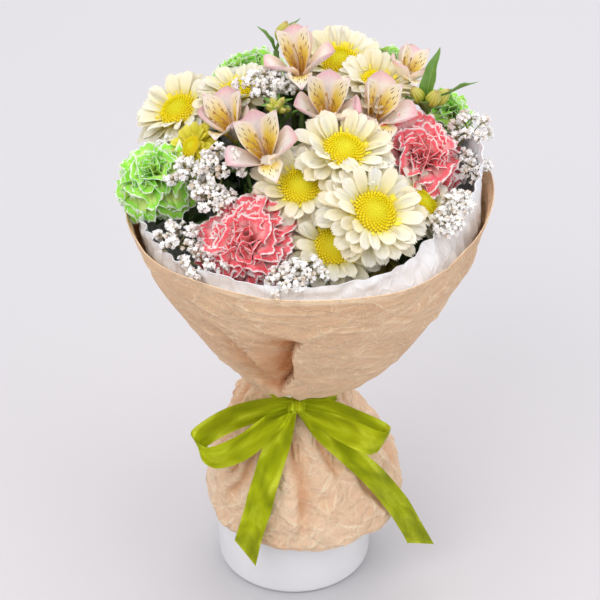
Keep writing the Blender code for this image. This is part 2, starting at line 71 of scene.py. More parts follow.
def shellOf(points, quads, tris=None, finish=0, **marks):
    n = len(points)
    tris = np.zeros((0, 3), int) if tris is None else tris
    flat = {key: np.broadcast_to(np.asarray(value, float), n) for key, value in marks.items()}
    return {"points": points, "quads": quads, "tris": tris, "finish": finish, "marks": flat}


def ringShell(rings, low, high, finish=0, **marks):
    # rings[i, j] is point j round ring i, and a point at each end closes it with a fan
    rows, sides, _ = rings.shape
    index = np.arange(rows * sides).reshape(rows, sides)
    index = np.concatenate([index, index[:, :1]], 1)
    first, last = np.full(sides, rows * sides), np.full(sides, rows * sides + 1)
    lowFan = np.stack([first, index[0, 1:], index[0, :-1]], -1)
    highFan = np.stack([last, index[-1, :-1], index[-1, 1:]], -1)
    tris = np.concatenate([lowFan, highFan])
    points = np.concatenate([rings.reshape(-1, 3), [low, high]])
    along = np.concatenate([np.repeat(np.linspace(0, 1, rows), sides), [0, 1]])
    around = np.concatenate([np.tile(np.linspace(0, 1, sides, endpoint=False), rows), [0, 0]])
    return shellOf(points, quadsOf(index), tris, finish, along=along, across=around, **marks)


def turnedShell(profile, sides, finish=0, ribs=0, ribDepth=0.0, **marks):
    # (r, z) up the outside, turned about Z: x = r cos a, y = r sin a, r swells by ribDepth cos(ribs a)
    r, z = np.asarray(profile, float).T
    a = np.linspace(0, math.tau, sides, endpoint=False)
    swell = 1 + ribDepth * np.cos(ribs * a)
    x, y = r[:, None] * np.cos(a) * swell, r[:, None] * np.sin(a) * swell
    rings = np.stack([x, y, np.repeat(z[:, None], sides, 1)], -1)
    return ringShell(rings, (0, 0, z[0]), (0, 0, z[-1]), finish, **marks)


def tubeShell(line, radius, sides=8, finish=0, ref=(0, 1, 0), **marks):
    # a circle of that radius carried along the line, square to it
    tangent = unit(np.gradient(line, axis=0))
    side = unit(np.cross(np.broadcast_to(np.asarray(ref, float), line.shape), tangent))
    up = np.cross(tangent, side)
    a = np.linspace(0, math.tau, sides, endpoint=False)[None, :, None]
    r = np.broadcast_to(np.asarray(radius, float), len(line))[:, None, None]
    rings = line[:, None] + r * (np.cos(a) * side[:, None] + np.sin(a) * up[:, None])
    return ringShell(rings, line[0], line[-1], finish, **marks)


def leafShells(mid, thick, finish=0, **marks):
    # mid[k, i, j] is sheet k's middle surface; its two faces stand thick/2 off it and meet at the border
    k, rows, cols, _ = mid.shape
    normal = unit(np.cross(np.gradient(mid, axis=2), np.gradient(mid, axis=1)))
    inner = np.zeros((rows, cols), bool)
    inner[1:-1, 1:-1] = True
    step = normal * (0.5 * thick * inner)[None, :, :, None]
    upper = np.arange(rows * cols).reshape(rows, cols)
    lower = upper.copy()
    lower[inner] = rows * cols + np.arange(inner.sum())
    one = np.concatenate([quadsOf(upper), quadsOf(lower)[:, ::-1]])
    each = rows * cols + inner.sum()
    points = np.concatenate([(mid + step).reshape(k, -1, 3), (mid - step)[:, inner]], 1)
    quads = (one[None] + each * np.arange(k)[:, None, None]).reshape(-1, 4)

    def spread(value):
        value = np.broadcast_to(value, (k, rows, cols))
        return np.concatenate([value.reshape(k, -1), value[:, inner]], 1).ravel()

    s, t = np.linspace(0, 1, rows)[:, None], np.linspace(0, 1, cols)[None]
    marks = {key: spread(value) for key, value in marks.items()}
    return shellOf(points.reshape(-1, 3), quads, None, finish, along=spread(s), across=spread(t), **marks)


def copies(shell, turns, places, sizes, **marks):
    # copy k of every point p is place[k] + size[k] * turn[k] p
    k, n = len(places), len(shell["points"])
    points = np.einsum("kij,nj->kni", turns, shell["points"]) * np.asarray(sizes).reshape(-1, 1, 1)
    points = points + places[:, None]
    shift = n * np.arange(k)[:, None, None]
    made = {key: np.tile(value, k) for key, value in shell["marks"].items()}
    made.update({key: np.repeat(value, n) for key, value in marks.items()})
    quads = (shell["quads"][None] + shift).reshape(-1, 4)
    tris = (shell["tris"][None] + shift).reshape(-1, 3)
    return shellOf(points.reshape(-1, 3), quads, tris, shell["finish"], **made)


def turnsTo(axes, spins=0.0):
    # a turn that takes +Z to each axis, after a spin about Z
    z = unit(np.asarray(axes, float))
    guide = np.where(np.abs(z[:, 1:2]) < 0.9, (0.0, 1.0, 0.0), (1.0, 0.0, 0.0))
    x = unit(np.cross(guide, z))
    y = np.cross(z, x)
    c, s = np.cos(spins), np.sin(spins)
    c, s = np.broadcast_to(c, len(z))[:, None], np.broadcast_to(s, len(z))[:, None]
    return np.stack([x * c + y * s, y * c - x * s, z], -1)


def placed(shells, centre, lean, spin=0.0):  # a flower made about +Z, put at its place in the bunch
    turn = turnsTo([(lean[0], lean[1], 1.0)], spin)[0]
    return [dict(part, points=part["points"] @ turn.T + np.asarray(centre)) for part in shells]


def makePiece(name, shells, looks, nodes):
    # one mesh from the shells, with their marks as point attributes and along/across as its UV map
    starts = np.cumsum([0] + [len(part["points"]) for part in shells])
    quads = np.concatenate([part["quads"] + start for part, start in zip(shells, starts)])
    tris = np.concatenate([part["tris"] + start for part, start in zip(shells, starts)])
    corners = np.concatenate([quads.ravel(), tris.ravel()]).astype(np.int32)
    begins = np.concatenate([np.arange(len(quads)) * 4, 4 * len(quads) + np.arange(len(tris)) * 3])
    kinds = [np.full(len(part[face]), part["finish"]) for face in ("quads", "tris") for part in shells]
    mesh = bpy.data.meshes.new(name)
    mesh.vertices.add(int(starts[-1]))
    mesh.loops.add(len(corners))
    mesh.polygons.add(len(begins))
    points = np.concatenate([part["points"] for part in shells])
    mesh.vertices.foreach_set("co", points.astype(np.float32).ravel())
    mesh.loops.foreach_set("vertex_index", corners)
    mesh.polygons.foreach_set("loop_start", begins.astype(np.int32))
    mesh.polygons.foreach_set("material_index", np.concatenate(kinds).astype(np.int32))
    keys = sorted({key for part in shells for key in part["marks"]})
    values = {}
    for key in keys:
        found = [part["marks"].get(key, np.zeros(len(part["points"]))) for part in shells]
        values[key] = np.concatenate(found)
        mesh.attributes.new(key, "FLOAT", "POINT").data.foreach_set("value", values[key].astype(np.float32))
    if "along" in values:
        flat = np.stack([values["along"], values["across"]], -1)[corners]
        mesh.uv_layers.new(name="run").data.foreach_set("uv", flat.astype(np.float32).ravel())
    mesh.update(calc_edges=True)
    mesh.validate()
    mesh.shade_smooth()
    mesh.set_sharp_from_angle(angle=math.radians(75))  # thin rims stay crisp
    for look in looks:
        mesh.materials.append(finishes[look])
    piece = bpy.data.objects.new(name, mesh)
    bpy.context.scene.collection.objects.link(piece)
    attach(piece, "root")
    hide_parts(*nodes)
    return piece


# finishes: each is a Principled shader with its own pattern

def newFinish(name, colour, roughness, sockets=None):
    made = bpy.data.materials.new(name)
    made.use_nodes = True
    shader = made.node_tree.nodes["Principled BSDF"]
    shader.inputs["Base Color"].default_value = (*colour, 1)
    shader.inputs["Roughness"].default_value = roughness
    for socket, value in (sockets or {}).items():
        shader.inputs[socket].default_value = value
    return made


def put(material, kind, inputs=None, **settings):  # a node, its sockets given as values or links
    made = material.node_tree.nodes.new(kind)
    for key, value in settings.items():
        setattr(made, key, value)
    for key, value in (inputs or {}).items():
        if isinstance(value, bpy.types.NodeSocket):
            material.node_tree.links.new(value, made.inputs[key])
        else:
            made.inputs[key].default_value = value
    return made


def shade(material, socket, source):
    shader = material.node_tree.nodes["Principled BSDF"]
    material.node_tree.links.new(source, shader.inputs[socket])


def spot(material, scale=(1, 1, 1)):  # Object coordinates, stretched
    point = put(material, "ShaderNodeTexCoord").outputs["Object"]
    return put(material, "ShaderNodeMapping", {"Vector": point, "Scale": scale}).outputs[0]


def run(material, scale=(1, 1, 1)):  # the piece's own UV map, stretched
    point = put(material, "ShaderNodeUVMap", uv_map="run").outputs[0]
    return put(material, "ShaderNodeMapping", {"Vector": point, "Scale": scale}).outputs[0]


def mark(material, name):
    return put(material, "ShaderNodeAttribute", attribute_name=name).outputs["Fac"]


def noise(material, point, scale, detail=3.0, roughness=0.5, distortion=0.0):
    values = {
        "Vector": point, "Scale": scale, "Detail": detail, "Roughness": roughness,
        "Distortion": distortion,
    }
    return put(material, "ShaderNodeTexNoise", values).outputs["Fac"]


def sums(material, operation, a, b=0.0, c=0.0):
    return put(material, "ShaderNodeMath", {0: a, 1: b, 2: c}, operation=operation).outputs[0]


def ramp(material, fac, stops):  # stops are (place, colour or grey)
    made = put(material, "ShaderNodeValToRGB", {"Fac": fac})
    while len(made.color_ramp.elements) < len(stops):
        made.color_ramp.elements.new(0.5)
    for element, (place, colour) in zip(made.color_ramp.elements, stops):
        element.position = place
        element.color = (*colour, 1) if hasattr(colour, "__len__") else (colour, colour, colour, 1)
    return made.outputs["Color"]


def blend(material, fac, a, b, mode="MIX"):
    made = put(material, "ShaderNodeMix", data_type="RGBA", blend_type=mode)
    for key, value in ((0, fac), (6, a), (7, b)):
        if isinstance(value, bpy.types.NodeSocket):
            material.node_tree.links.new(value, made.inputs[key])
        else:
            made.inputs[key].default_value = (*value, 1) if hasattr(value, "__len__") else value
    return made.outputs[2]


def dress(material, colour, rough, bump):
    # the colour, a roughness of pattern * swing + low where it varies, and a bump of height, strength and
    # distance
    height, strength, distance = bump
    values = {"Height": height, "Strength": strength, "Distance": distance}
    shade(material, "Base Color", colour)
    if rough:
        pattern, swing, low = rough
        shade(material, "Roughness", sums(material, "MULTIPLY_ADD", pattern, swing, low))
    shade(material, "Normal", put(material, "ShaderNodeBump", values).outputs["Normal"])
    return material


def soft(weight, radius, scale=1.0, specular=0.5):  # light that passes a little way into thin tissue
    return {
        "Subsurface Weight": weight, "Subsurface Radius": radius, "Subsurface Scale": scale,
        "Specular IOR Level": specular,
    }


def sideOf(material, across):  # 0 on the middle rib, 1 at both borders
    return sums(material, "ABSOLUTE", sums(material, "MULTIPLY_ADD", across, 2.0, -1.0))


def ownTone(material, colour, stops):  # the colour times a tone of its own for each petal, leaf or floret
    return blend(material, 1.0, colour, ramp(material, mark(material, "tone"), stops), "MULTIPLY")


def glazeFinish():
    look = {"colour": (0.80, 0.80, 0.82), "roughness": 0.16, "orangePeel": 90, "cloud": 18}
    made = newFinish(
        "whiteGlaze", look["colour"], look["roughness"], {"Coat Weight": 0.25, "Coat Roughness": 0.08}
    )
    cloud = noise(made, spot(made), look["cloud"], 2)
    base = ramp(made, cloud, [(0.3, (0.77, 0.77, 0.79)), (0.7, (0.83, 0.83, 0.85))])
    peel = noise(made, spot(made), look["orangePeel"], 1)
    return dress(made, base, (cloud, 0.10, 0.12), (peel, 0.05, 0.0006))


def creased(material, point, scale, width):  # thin straight lines along the borders of irregular cells
    cells = put(
        material, "ShaderNodeTexVoronoi", {"Vector": point, "Scale": scale}, feature="DISTANCE_TO_EDGE"
    )
    return ramp(material, cells.outputs["Distance"], [(0.0, 1.0), (width, 0.0)])


def faceted(material, point, scale):  # flat facets meeting at ridges, as crushed paper has
    return put(
        material, "ShaderNodeTexVoronoi", {"Vector": point, "Scale": scale}, distance="MANHATTAN"
    ).outputs["Distance"]


def warped(material, point, scale, far):  # the point moved a little by a noise
    drift = put(
        material, "ShaderNodeTexNoise", {"Vector": point, "Scale": scale, "Detail": 2.0}
    ).outputs["Color"]
    return put(material, "ShaderNodeMix", {4: point, 5: drift, 0: far}, data_type="VECTOR").outputs[1]


def paperFinish(name, pale, deep, grain, crush, depth, roughness, flat, lift, web):
    # fibre flecks over crushed creases, which are worn pale; the folds' pockets get a warm painted shade
    made = newFinish(name, pale, roughness, soft(0.08, (0.006, 0.004, 0.002), 0.5))
    point = spot(made)
    cloud = noise(made, point, 16, 4, 0.6)
    base = ramp(made, cloud, [(0.32, deep), (0.66, pale)])
    stretched = warped(made, spot(made, (1, 1, flat)), 26, 0.035)
    broad, fine = creased(made, stretched, crush, 0.050), creased(made, stretched, crush * 2.4, 0.075)
    long = creased(made, warped(made, spot(made, (1, 1, flat * 1.3)), 14, 0.06), crush * 0.42, 0.022)
    patchy = noise(made, point, crush * 0.6, 2)
    finer = noise(made, point, crush * 0.9, 1, 0.5, 0.3)
    fibre = noise(made, spot(made, (1, 1, 0.25)), grain, 5, 0.7)
    kept = ramp(made, patchy, [(0.38, 0.0), (0.52, 1.0)])
    keptFine = ramp(made, finer, [(0.42, 0.0), (0.56, 0.75)])
    keptLong = ramp(made, noise(made, point, crush * 0.45, 1), [(0.42, 0.0), (0.50, 1.0)])
    lines = sums(made, "MAXIMUM", sums(made, "MULTIPLY", broad, kept), sums(made, "MULTIPLY", fine, keptFine))
    lines = sums(made, "MAXIMUM", lines, sums(made, "MULTIPLY", long, keptLong))
    worn = sums(made, "MAXIMUM", mark(made, "crest"), sums(made, "MULTIPLY", lines, web))
    worn = sums(made, "MULTIPLY", worn, sums(made, "MULTIPLY_ADD", fibre, 0.8, 0.32))
    lit = blend(made, worn, base, tuple(min(0.98, 1.22 * c + 0.14) for c in pale))
    # painted shade on the crushed facets, toward their borders
    shaded = ramp(made, faceted(made, stretched, crush), [(0.55, 0.0), (1.25, 0.22)])
    lit = blend(made, sums(made, "MULTIPLY", shaded, kept), lit, tuple(0.80 * c for c in deep))
    # painted shade in the folds' pockets: a mottled warm brown
    mottle = ramp(made, noise(made, point, 45, 3), [(0.30, 0.45), (0.62, 1.0)])
    foldShade = sums(made, "MULTIPLY", mark(made, "pocket"), mottle)
    warmShade = blend(made, foldShade, lit, tuple(c * k for c, k in zip(deep, (0.74, 0.46, 0.22))))
    flecks = ramp(made, fibre, [(0.35, 0.90), (0.60, 1.0)])
    colour = blend(made, 0.7, warmShade, flecks, "MULTIPLY")
    small = sums(made, "MULTIPLY", faceted(made, stretched, crush * 1.7), 0.45)
    height = sums(made, "MULTIPLY_ADD", faceted(made, stretched, crush * 0.6), 0.9, small)
    height = sums(made, "MULTIPLY_ADD", lines, lift, sums(made, "MULTIPLY_ADD", fibre, 0.10, height))
    return dress(made, colour, (fibre, 0.15, roughness - 0.08), (height, 0.9, depth))


def tissueFinish():
    made = newFinish("whiteTissue", (0.88, 0.88, 0.92), 0.5, soft(0.12, (0.004, 0.004, 0.004), specular=0.6))
    point = spot(made)
    cloud = noise(made, point, 30, 4, 0.55, 0.5)
    colour = ramp(made, cloud, [(0.3, (0.88, 0.91, 0.97)), (0.62, (0.93, 0.96, 1.0))])
    colour = blend(made, mark(made, "crest"), colour, (0.95, 0.97, 1.0))
    bent = warped(made, spot(made, (1, 1, 0.35)), 20, 0.03)
    broad, fine = faceted(made, bent, 60), creased(made, bent, 120, 0.10)
    height = sums(made, "MULTIPLY_ADD", broad, 1.5, sums(made, "MULTIPLY", fine, 0.3))
    return dress(made, colour, (cloud, 0.2, 0.38), (height, 0.6, 0.0018))


def satinFinish():
    look = {"gleam": (0.79, 0.87, 0.05), "light": (0.54, 0.62, 0.004), "deep": (0.35, 0.41, 0.001)}
    made = newFinish("limeSatin", look["light"], 0.3, {"Metallic": 0.75, "Specular IOR Level": 0.5})
    weave = {"Vector": run(made), "Scale": 30.0, "Distortion": 0.8, "Detail": 2.0}
    threads = put(made, "ShaderNodeTexWave", weave, bands_direction="Y").outputs["Fac"]
    folds = noise(made, run(made, (4.0, 1.3, 1)), 1.3, 2, 0.5, 0.3)
    # painted shade (deep) and painted highlight (gleam) along the fold noise stand in for the satin's sheen
    colour = ramp(made, folds, [(0.34, look["deep"]), (0.52, look["light"]), (0.66, look["gleam"])])
    height = sums(made, "MULTIPLY_ADD", folds, 2.4, sums(made, "MULTIPLY", threads, 0.08))
    return dress(made, colour, (threads, 0.06, 0.27), (height, 0.8, 0.0020))


def twineFinish():
    made = newFinish("twine", (0.50, 0.38, 0.22), 0.9)
    lay = {"Vector": run(made, (160, 2, 1)), "Scale": 2.0, "Distortion": 2.0}
    strands = put(made, "ShaderNodeTexWave", lay, bands_direction="DIAGONAL").outputs["Fac"]
    fluff = noise(made, spot(made), 900, 3)
    colour = ramp(made, fluff, [(0.3, (0.34, 0.25, 0.13)), (0.7, (0.60, 0.47, 0.29))])
    return dress(made, colour, None, (sums(made, "ADD", strands, fluff), 0.6, 0.0006))


def petalFinish(name, stops, veins=0.10, roughness=0.5):
    # a colour that runs from the petal's foot to its tip, with long veins and a tone of its own for each
    # petal
    made = newFinish(name, stops[-1][1], roughness, soft(0.40, (0.010, 0.008, 0.004), specular=0.35))
    base = ramp(made, mark(made, "along"), stops)
    lines = noise(made, run(made, (1.2, 16, 1)), 3.0, 3, 0.6)
    toned = blend(made, veins, base, ramp(made, lines, [(0.3, 0.55), (0.7, 1.0)]), "MULTIPLY")
    colour = ownTone(made, toned, [(0.0, (0.97, 0.90, 0.74)), (0.6, (1.0, 1.0, 1.0))])
    return dress(made, colour, (lines, 0.2, roughness - 0.1), (lines, 0.35, 0.0005))


def discFinish():
    made = newFinish("discYellow", (0.85, 0.70, 0.02), 0.6, {"Specular IOR Level": 0.15})
    yellows = [
        (0.0, (0.50, 0.66, 0.015)), (0.34, (0.78, 0.80, 0.012)), (0.60, (0.90, 0.77, 0.010)),
        (1.0, (0.96, 0.84, 0.09)),
    ]
    base = ramp(made, mark(made, "outward"), yellows)
    # painted shade: darker and browner toward each floret's foot, down between the florets
    depth = ramp(made, mark(made, "along"), [(0.0, (0.70, 0.56, 0.08)), (0.5, (1, 1, 1))])
    grain = noise(made, spot(made), 1400, 2)
    colour = blend(made, 0.85, base, depth, "MULTIPLY")
    return dress(made, colour, (grain, 0.2, 0.5), (grain, 0.4, 0.0002))


def ruffleFinish(name, edge, rich, body, foot):
    # a carnation petal: a pale rim, a rich band just inside it, and a paler body that is speckled
    made = newFinish(name, body, 0.55, soft(0.30, (0.006, 0.004, 0.004), specular=0.3))
    wander = noise(made, run(made, (6, 22, 1)), 2.0, 3)
    reach = sums(made, "MULTIPLY_ADD", wander, 0.10, sums(made, "SUBTRACT", mark(made, "inward"), 0.05))
    # the foot's darker colour, deep in the head, is painted shade
    bands = [
        (0.0, edge), (0.022, edge), (0.046, rich), (0.085, rich), (0.20, body), (0.32, body), (0.70, foot)
    ]
    base = ramp(made, reach, bands)
    flecks = noise(made, run(made, (9, 60, 1)), 3.0, 4, 0.7)
    spread = blend(made, ramp(made, flecks, [(0.50, 0.0), (0.70, 0.60)]), base, edge)
    colour = ownTone(made, spread, [(0.0, 0.92), (1.0, 1.0)])
    return dress(made, colour, (flecks, 0.2, 0.45), (flecks, 0.4, 0.0004))


def lilyFinish(name, inner):
    # an alstroemeria petal: white with a pink flush; the inner ones are yellow with dark dashes
    made = newFinish(name, (0.9, 0.8, 0.76), 0.45, soft(0.35, (0.010, 0.007, 0.005), specular=0.35))
    along, side = mark(made, "along"), sideOf(made, mark(made, "across"))
    veins = noise(made, run(made, (1.2, 18, 1)), 3.0, 3)
    if inner:
        base = ramp(made, along, [
            (0.0, (0.86, 0.36, 0.05)), (0.25, (0.93, 0.50, 0.03)), (0.52, (0.96, 0.68, 0.08)),
            (0.76, (0.96, 0.84, 0.50)), (0.93, (0.95, 0.80, 0.72)), (1.0, (0.86, 0.38, 0.46)),
        ])
        base = blend(made, ramp(made, side, [(0.62, 0.0), (0.95, 0.75)]), base, (0.97, 0.87, 0.78))
        cells = {"Vector": run(made, (3.6, 9.5, 1)), "Scale": 1.0, "Randomness": 0.85}
        dash = put(made, "ShaderNodeTexVoronoi", cells, voronoi_dimensions="2D").outputs["Distance"]
        thin = ramp(made, dash, [(0.13, 1.0), (0.19, 0.0)])
        length = ramp(made, along, [(0.24, 0.0), (0.34, 1.0), (0.84, 1.0), (0.92, 0.0)])
        where = sums(made, "MULTIPLY", length, ramp(made, side, [(0.62, 1.0), (0.80, 0.0)]))
        base = blend(made, sums(made, "MULTIPLY", thin, where), base, (0.10, 0.015, 0.02))
    else:
        base = ramp(made, along, [
            (0.0, (0.84, 0.50, 0.28)), (0.30, (0.95, 0.82, 0.68)), (0.72, (0.96, 0.88, 0.84)),
            (0.93, (0.88, 0.46, 0.55)), (1.0, (0.55, 0.42, 0.22)),
        ])
        base = blend(made, ramp(made, side, [(0.60, 0.0), (1.0, 0.40)]), base, (0.86, 0.40, 0.50))
        base = blend(made, ramp(made, side, [(0.0, 0.40), (0.16, 0.0)]), base, (0.80, 0.55, 0.50))
    colour = blend(made, 0.12, base, ramp(made, veins, [(0.3, 0.5), (0.7, 1.0)]), "MULTIPLY")
    return dress(made, colour, (veins, 0.2, 0.34), (veins, 0.35, 0.0005))


def leafFinish(name, dark, light, rib):
    # a pale middle rib, slanting side veins and mottled green between them
    made = newFinish(name, dark, 0.45)
    along, side = mark(made, "along"), sideOf(made, mark(made, "across"))
    slant = sums(made, "SUBTRACT", along, sums(made, "MULTIPLY", side, 0.22))
    ribs = sums(made, "ABSOLUTE", sums(made, "SINE", sums(made, "MULTIPLY", slant, 34.0)))
    veins = ramp(made, ribs, [(0.0, 1.0), (0.22, 0.0)])
    middle = ramp(made, side, [(0.03, 1.0), (0.09, 0.0)])
    mottle = noise(made, spot(made), 160, 3)
    base = ramp(made, mottle, [(0.3, dark), (0.7, light)])
    base = blend(made, sums(made, "MULTIPLY", veins, 0.35), base, rib)
    base = blend(made, middle, base, rib)
    colour = ownTone(made, base, [(0.0, 0.60), (1.0, 1.0)])
    height = sums(made, "MULTIPLY_ADD", middle, -0.8, sums(made, "MULTIPLY", veins, -0.5))
    return dress(made, colour, (mottle, 0.2, 0.35), (height, 0.5, 0.0006))


def stemFinish(name, dark, light):
    made = newFinish(name, light, 0.5)
    streaks = noise(made, spot(made, (1, 1, 0.08)), 900, 3)
    cloud = noise(made, spot(made), 40, 2)
    base = ramp(made, cloud, [(0.3, dark), (0.7, light)])
    colour = blend(made, 0.5, base, ramp(made, streaks, [(0.3, 0.6), (0.7, 1.0)]), "MULTIPLY")
    return dress(made, colour, (streaks, 0.2, 0.4), (streaks, 0.4, 0.0004))


def floretFinish():
    made = newFinish("lavenderWhite", (0.86, 0.85, 0.84), 0.6, soft(0.15, (0.004, 0.004, 0.004), 0.4))
    base = ramp(
        made, mark(made, "along"),
        [(0.0, (0.45, 0.36, 0.20)), (0.30, (0.88, 0.84, 0.76)), (0.6, (0.96, 0.95, 0.94))],
    )
    colour = ownTone(made, base, [(0.0, (0.72, 0.58, 0.46)), (0.22, (1, 1, 1))])
    papery = noise(made, spot(made), 1200, 2)
    return dress(made, colour, (papery, 0.2, 0.5), (papery, 0.5, 0.0002))


def budFinish():
    made = newFinish("budGreen", (0.45, 0.50, 0.06), 0.4)
    bands = {"Vector": run(made, (0.05, 1, 1)), "Scale": 3.8, "Distortion": 0.6}
    stripes = put(made, "ShaderNodeTexWave", bands, bands_direction="Y").outputs["Fac"]
    greens = [
        (0.0, (0.22, 0.36, 0.05)), (0.5, (0.50, 0.54, 0.06)), (0.9, (0.62, 0.58, 0.14)),
        (1.0, (0.40, 0.30, 0.10)),
    ]
    base = ramp(made, mark(made, "along"), greens)
    base = blend(made, ramp(made, stripes, [(0.0, 0.75), (0.22, 0.0)]), base, (0.36, 0.17, 0.04))
    fine = noise(made, spot(made), 500, 2)
    return dress(made, base, (fine, 0.2, 0.3), (sums(made, "ADD", stripes, fine), 0.3, 0.0005))


# grain of the fibres, size of the crush and its depth, how flat the creases lie, how much they lift and show
kraftLook = {
    "pale": (0.79, 0.518, 0.316), "deep": (0.67, 0.410, 0.235), "grain": 700, "crush": 52, "depth": 0.0024,
    "roughness": 0.68, "flat": 1.7, "lift": 0.22, "web": 0.9,
}
skirtLook = {
    "pale": (0.86, 0.61, 0.415), "deep": (0.76, 0.49, 0.305), "grain": 600, "crush": 74, "depth": 0.0026,
    "roughness": 0.60, "flat": 1.1, "lift": 0.10, "web": 0.45,
}
creamStops = [
    (0.0, (0.92, 0.74, 0.08)), (0.26, (0.96, 0.84, 0.28)), (0.52, (0.97, 0.90, 0.58)),
    (1.0, (0.97, 0.92, 0.76)),
]
yellowStops = [(0.0, (0.70, 0.58, 0.02)), (0.5, (0.80, 0.70, 0.02)), (1.0, (0.86, 0.78, 0.06))]
# the foot colour of both carnations is a darker, painted shade for the depth of the head
coralBands = {
    "edge": (1.0, 0.92, 0.90), "rich": (1.0, 0.07, 0.11), "body": (1.0, 0.47, 0.46),
    "foot": (1.0, 0.19, 0.21),
}
greenBands = {
    "edge": (0.93, 0.98, 0.82), "rich": (0.28, 0.82, 0.015), "body": (0.76, 0.97, 0.22),
    "foot": (0.52, 0.88, 0.06),
}

finishes = {
    "glaze": glazeFinish(),
    "kraft": paperFinish("kraftPaper", **kraftLook),
    "skirt": paperFinish("crushedKraft", **skirtLook),
    "tissue": tissueFinish(),
    "satin": satinFinish(),
    "twine": twineFinish(),
    "cream": petalFinish("creamPetal", creamStops, veins=0.14),
    "yellow": petalFinish("yellowPetal", yellowStops),
    "disc": discFinish(),
    "coral": ruffleFinish("coralPetal", **coralBands),
    "green": ruffleFinish("limeGreenPetal", **greenBands),
    "lilyOuter": lilyFinish("blushPetal", False),
    "lilyInner": lilyFinish("flamePetal", True),
    "anther": petalFinish("anther", [(0.0, (0.55, 0.22, 0.10)), (1.0, (0.42, 0.30, 0.12))], roughness=0.7),
    "floret": floretFinish(),
    "twig": stemFinish("twigGreen", (0.16, 0.15, 0.05), (0.26, 0.24, 0.08)),
    "leaf": leafFinish("darkLeaf", (0.035, 0.085, 0.02), (0.075, 0.14, 0.03), (0.16, 0.22, 0.06)),
    "freshLeaf": leafFinish("freshLeaf", (0.10, 0.24, 0.03), (0.17, 0.33, 0.05), (0.26, 0.42, 0.10)),
    "olive": leafFinish("oliveLeaf", (0.16, 0.13, 0.02), (0.26, 0.23, 0.03), (0.34, 0.28, 0.06)),
    "stem": stemFinish("stemGreen", (0.10, 0.20, 0.04), (0.19, 0.31, 0.08)),
    "bud": budFinish(),
}
print("finishes made:", len(finishes))


# vase

vase = {"radius": 0.064, "height": 0.112, "wall": 0.005, "floor": 0.006, "round": 0.006, "sides": 96}


def makeVase():
    # a circle's quarter at the foot and half at the lip, joined by straight walls, all turned about Z
    inner, lip, foot = vase["radius"] - vase["wall"], vase["wall"] / 2, vase["round"]
    quarter = np.linspace(0, math.pi / 2, 9)
    half = np.linspace(0, math.pi, 13)
    outside = np.stack([vase["radius"] - foot + foot * np.sin(quarter), foot - foot * np.cos(quarter)], -1)
    walls = np.stack([np.full(12, vase["radius"]), np.linspace(0.012, vase["height"] - lip - 0.002, 12)], -1)
    rim = np.stack([vase["radius"] - lip + lip * np.cos(half), vase["height"] - lip + lip * np.sin(half)], -1)
    inside = np.stack(
        [inner - foot + foot * np.cos(quarter), vase["floor"] + foot - foot * np.sin(quarter)], -1
    )
    foot = [(0.030, 0.0), (0.054, 0.0)]
    profile = np.concatenate([foot, outside, walls, rim, [(inner, 0.060)], inside, [(0.030, vase["floor"])]])
    piece = makePiece("whiteVase", [turnedShell(profile, vase["sides"])], ["glaze"], ["vase"])
    print("vase:", len(piece.data.polygons), "faces")


# paper sheets

collar = {
    # height, radius, centre X, centre Y
    "rings": [
        (0.168, 0.0320, 0.006, 0.000), (0.180, 0.0320, 0.006, 0.000), (0.186, 0.0325, 0.006, 0.000),
        (0.190, 0.0400, 0.007, 0.000), (0.197, 0.0520, 0.010, 0.000), (0.207, 0.0630, 0.012, 0.000),
        (0.222, 0.0770, 0.013, 0.001), (0.245, 0.0940, 0.013, 0.002), (0.275, 0.1120, 0.012, 0.003),
        (0.310, 0.1300, 0.011, 0.004), (0.352, 0.1420, 0.010, 0.004),
    ],
    "rows": 118, "columns": 384, "wall": 0.0007, "tipTurn": 10, "tipRise": 0.007, "neck": 0.180,
    "rim": 0.352, "reach": 0.115,
    "gathers": 22, "gatherLengths": (0.045, 0.075, 0.055, 0.095),
    "gatherDepths": (0.0075, 0.0045, 0.0065, 0.0055),
    # the middle of its mouth, and how far leaves stay off its wall, low and near the rim
    "middle": (0.010, 0.004), "room": (0.012, 0.008), "highFrom": 0.30, "roomSpan": (0.19, 0.362),
    # the overlap's edge and two big folds at the front, as (turn in degrees, height)
    "flapEdge": [(254, 0.2250), (262.5, 0.248), (263.5, 0.277), (265.5, 0.294), (269, 0.305)],
    "flapDepth": 0.015,
    "topFold": [(245, 0.3140), (253, 0.3140), (259, 0.312), (266.5, 0.307), (275, 0.292)],
    "sideFold": [
        (255, 0.2200), (253, 0.230), (248.5, 0.255), (244, 0.285), (238.5, 0.300), (232.5, 0.310)
    ],
    "sideDepth": 0.012,
    # creases strewn at random, and broad soft waves
    "strewn": {
        "count": 240, "levels": (0.20, 0.352), "slant": (-0.6, 0.6), "lengths": (0.010, 0.036),
        "widths": (0.0018, 0.0050), "talls": (0.0004, 0.0014),
    },
    "waves": {
        "count": 40, "levels": (0.20, 0.35), "slant": (-0.9, 0.9), "lengths": (0.02, 0.05),
        "widths": (0.008, 0.018), "talls": (0.0010, 0.0026),
    },
    # pressed creases: turn and height of each end, half width, height of the ridge
    "creases": [
        (246, 0.334, 281, 0.339, 0.0035, 0.0018), (243, 0.324, 276, 0.331, 0.0030, 0.0016),
        (265, 0.303, 285, 0.328, 0.0040, 0.0022), (285, 0.328, 322, 0.296, 0.0045, 0.0021),
        (266, 0.276, 274, 0.250, 0.0035, 0.0019), (274, 0.250, 318, 0.240, 0.0050, 0.0022),
        (280, 0.290, 306, 0.262, 0.0045, 0.0018), (300, 0.322, 330, 0.300, 0.0040, 0.0016),
        (225, 0.330, 246, 0.316, 0.0040, 0.0018), (212, 0.310, 236, 0.275, 0.0050, 0.0021),
        (290, 0.310, 312, 0.335, 0.0035, 0.0014), (270, 0.318, 300, 0.311, 0.0030, 0.0014),
    ],
}

